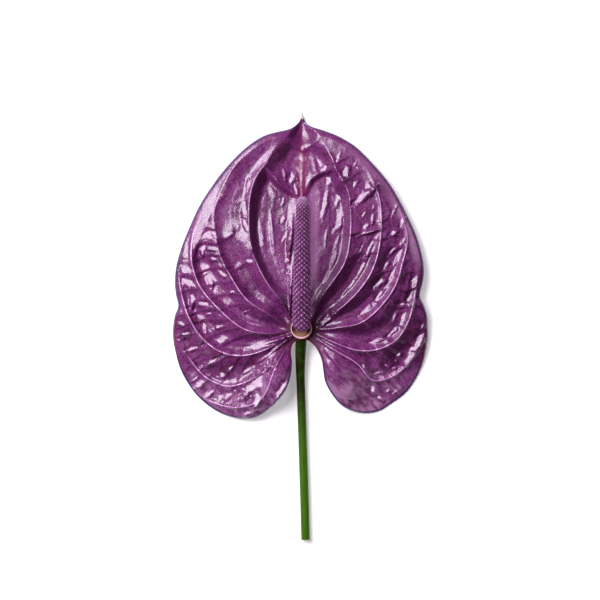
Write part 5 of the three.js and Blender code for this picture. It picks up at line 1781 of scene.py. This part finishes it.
def add_light(name, power, place, size, tint, glossy):
    light = bpy.data.lights.new(name, "AREA")
    light.shape = "SQUARE"
    light.size = size
    light.energy = power
    light.color = tint
    lamp = link_object(name, light)
    lamp.location = place
    facing = Vector(LIGHTS_FACE) - Vector(place)
    lamp.rotation_euler = facing.to_track_quat("-Z", "Y").to_euler()
    lamp.visible_glossy = glossy


def add_camera(s):
    camera = bpy.data.cameras.new("camera")
    camera.lens = s.focal_length
    camera.sensor_width = SENSOR_WIDTH
    made = link_object("camera", camera)
    distance = s.view_width * s.focal_length / SENSOR_WIDTH
    made.location = Vector(CAMERA_OVER) * MM + Vector((0, 0, distance))
    bpy.context.scene.camera = made


def add_world(s):
    world = bpy.data.worlds.new("Soft daylight")
    world.use_nodes = True
    background = world.node_tree.nodes["Background"]
    background.inputs["Color"].default_value = (*WHITE, 1.0)
    background.inputs["Strength"].default_value = s.daylight
    bpy.context.scene.world = world


# Operators

class ANTHURIUM_OT_spathe(bpy.types.Operator):
    """Builds the heart-shaped blade with its veins, net and rolled margin"""

    bl_idname = "anthurium.spathe"
    bl_label = "Build spathe"

    def execute(self, context):
        settings = context.scene.anthurium_spathe
        place_piece("spathe_blade", spathe_mesh(settings), "spathe", spathe_material(settings))
        return {"FINISHED"}


class ANTHURIUM_OT_spadix(bpy.types.Operator):
    """Builds the tapering spike and covers it with florets"""

    bl_idname = "anthurium.spadix"
    bl_label = "Build spadix"

    def execute(self, context):
        settings = context.scene.anthurium_spadix
        material = spadix_material(settings)
        place_piece("spadix_florets", spadix_mesh(settings, material), "spadix", material)
        return {"FINISHED"}


class ANTHURIUM_OT_receptacle(bpy.types.Operator):
    """Builds the cup round the foot of the spadix"""

    bl_idname = "anthurium.receptacle"
    bl_label = "Build receptacle"

    def execute(self, context):
        settings = context.scene.anthurium_receptacle
        place_piece("receptacle_cup", receptacle_mesh(settings), "receptacle",
                    receptacle_material(settings))
        return {"FINISHED"}


class ANTHURIUM_OT_stem(bpy.types.Operator):
    """Builds the cut stem"""

    bl_idname = "anthurium.stem"
    bl_label = "Build stem"

    def execute(self, context):
        settings = context.scene.anthurium_stem
        material = stem_material(settings)
        place_piece("stem_stalk", stem_mesh(settings, material), "stem", material)
        return {"FINISHED"}


class ANTHURIUM_OT_stage(bpy.types.Operator):
    """Builds the floor, the lights and the camera that looks straight down"""

    bl_idname = "anthurium.stage"
    bl_label = "Build stage"

    def execute(self, context):
        settings = context.scene.anthurium_stage
        add_floor(settings)
        for name, light in LIGHTS.items():
            add_light(name, getattr(settings, f"{name}_power"), **light)
        add_camera(settings)
        add_world(settings)
        context.scene.view_settings.view_transform = "Standard"
        return {"FINISHED"}


class ANTHURIUM_PT_panel(bpy.types.Panel):
    """Lists the settings and the operators of the flower"""

    bl_idname = "ANTHURIUM_PT_panel"
    bl_label = "Anthurium"
    bl_space_type = "VIEW_3D"
    bl_region_type = "UI"
    bl_category = "Anthurium"

    def draw(self, context):
        for name, group in GROUPS.items():
            box = self.layout.box()
            box.operator(f"anthurium.{name}")
            for field in group.__annotations__:
                box.prop(getattr(context.scene, f"anthurium_{name}"), field)


GROUPS = {
    "spathe": SpatheSettings,
    "spadix": SpadixSettings,
    "receptacle": ReceptacleSettings,
    "stem": StemSettings,
    "stage": StageSettings,
}
CLASSES = [
    *GROUPS.values(),
    ANTHURIUM_OT_spathe,
    ANTHURIUM_OT_spadix,
    ANTHURIUM_OT_receptacle,
    ANTHURIUM_OT_stem,
    ANTHURIUM_OT_stage,
    ANTHURIUM_PT_panel,
]


def register():
    for item in CLASSES:
        bpy.utils.register_class(item)
    for name, group in GROUPS.items():
        setattr(bpy.types.Scene, f"anthurium_{name}", bpy.props.PointerProperty(type=group))


def unregister():
    for name in GROUPS:
        delattr(bpy.types.Scene, f"anthurium_{name}")
    for item in reversed(CLASSES):
        bpy.utils.unregister_class(item)


def main():
    register()
    bpy.ops.anthurium.spathe()
    bpy.ops.anthurium.spadix()
    bpy.ops.anthurium.receptacle()
    bpy.ops.anthurium.stem()
    bpy.ops.anthurium.stage()


if __name__ == "__main__":
    main()
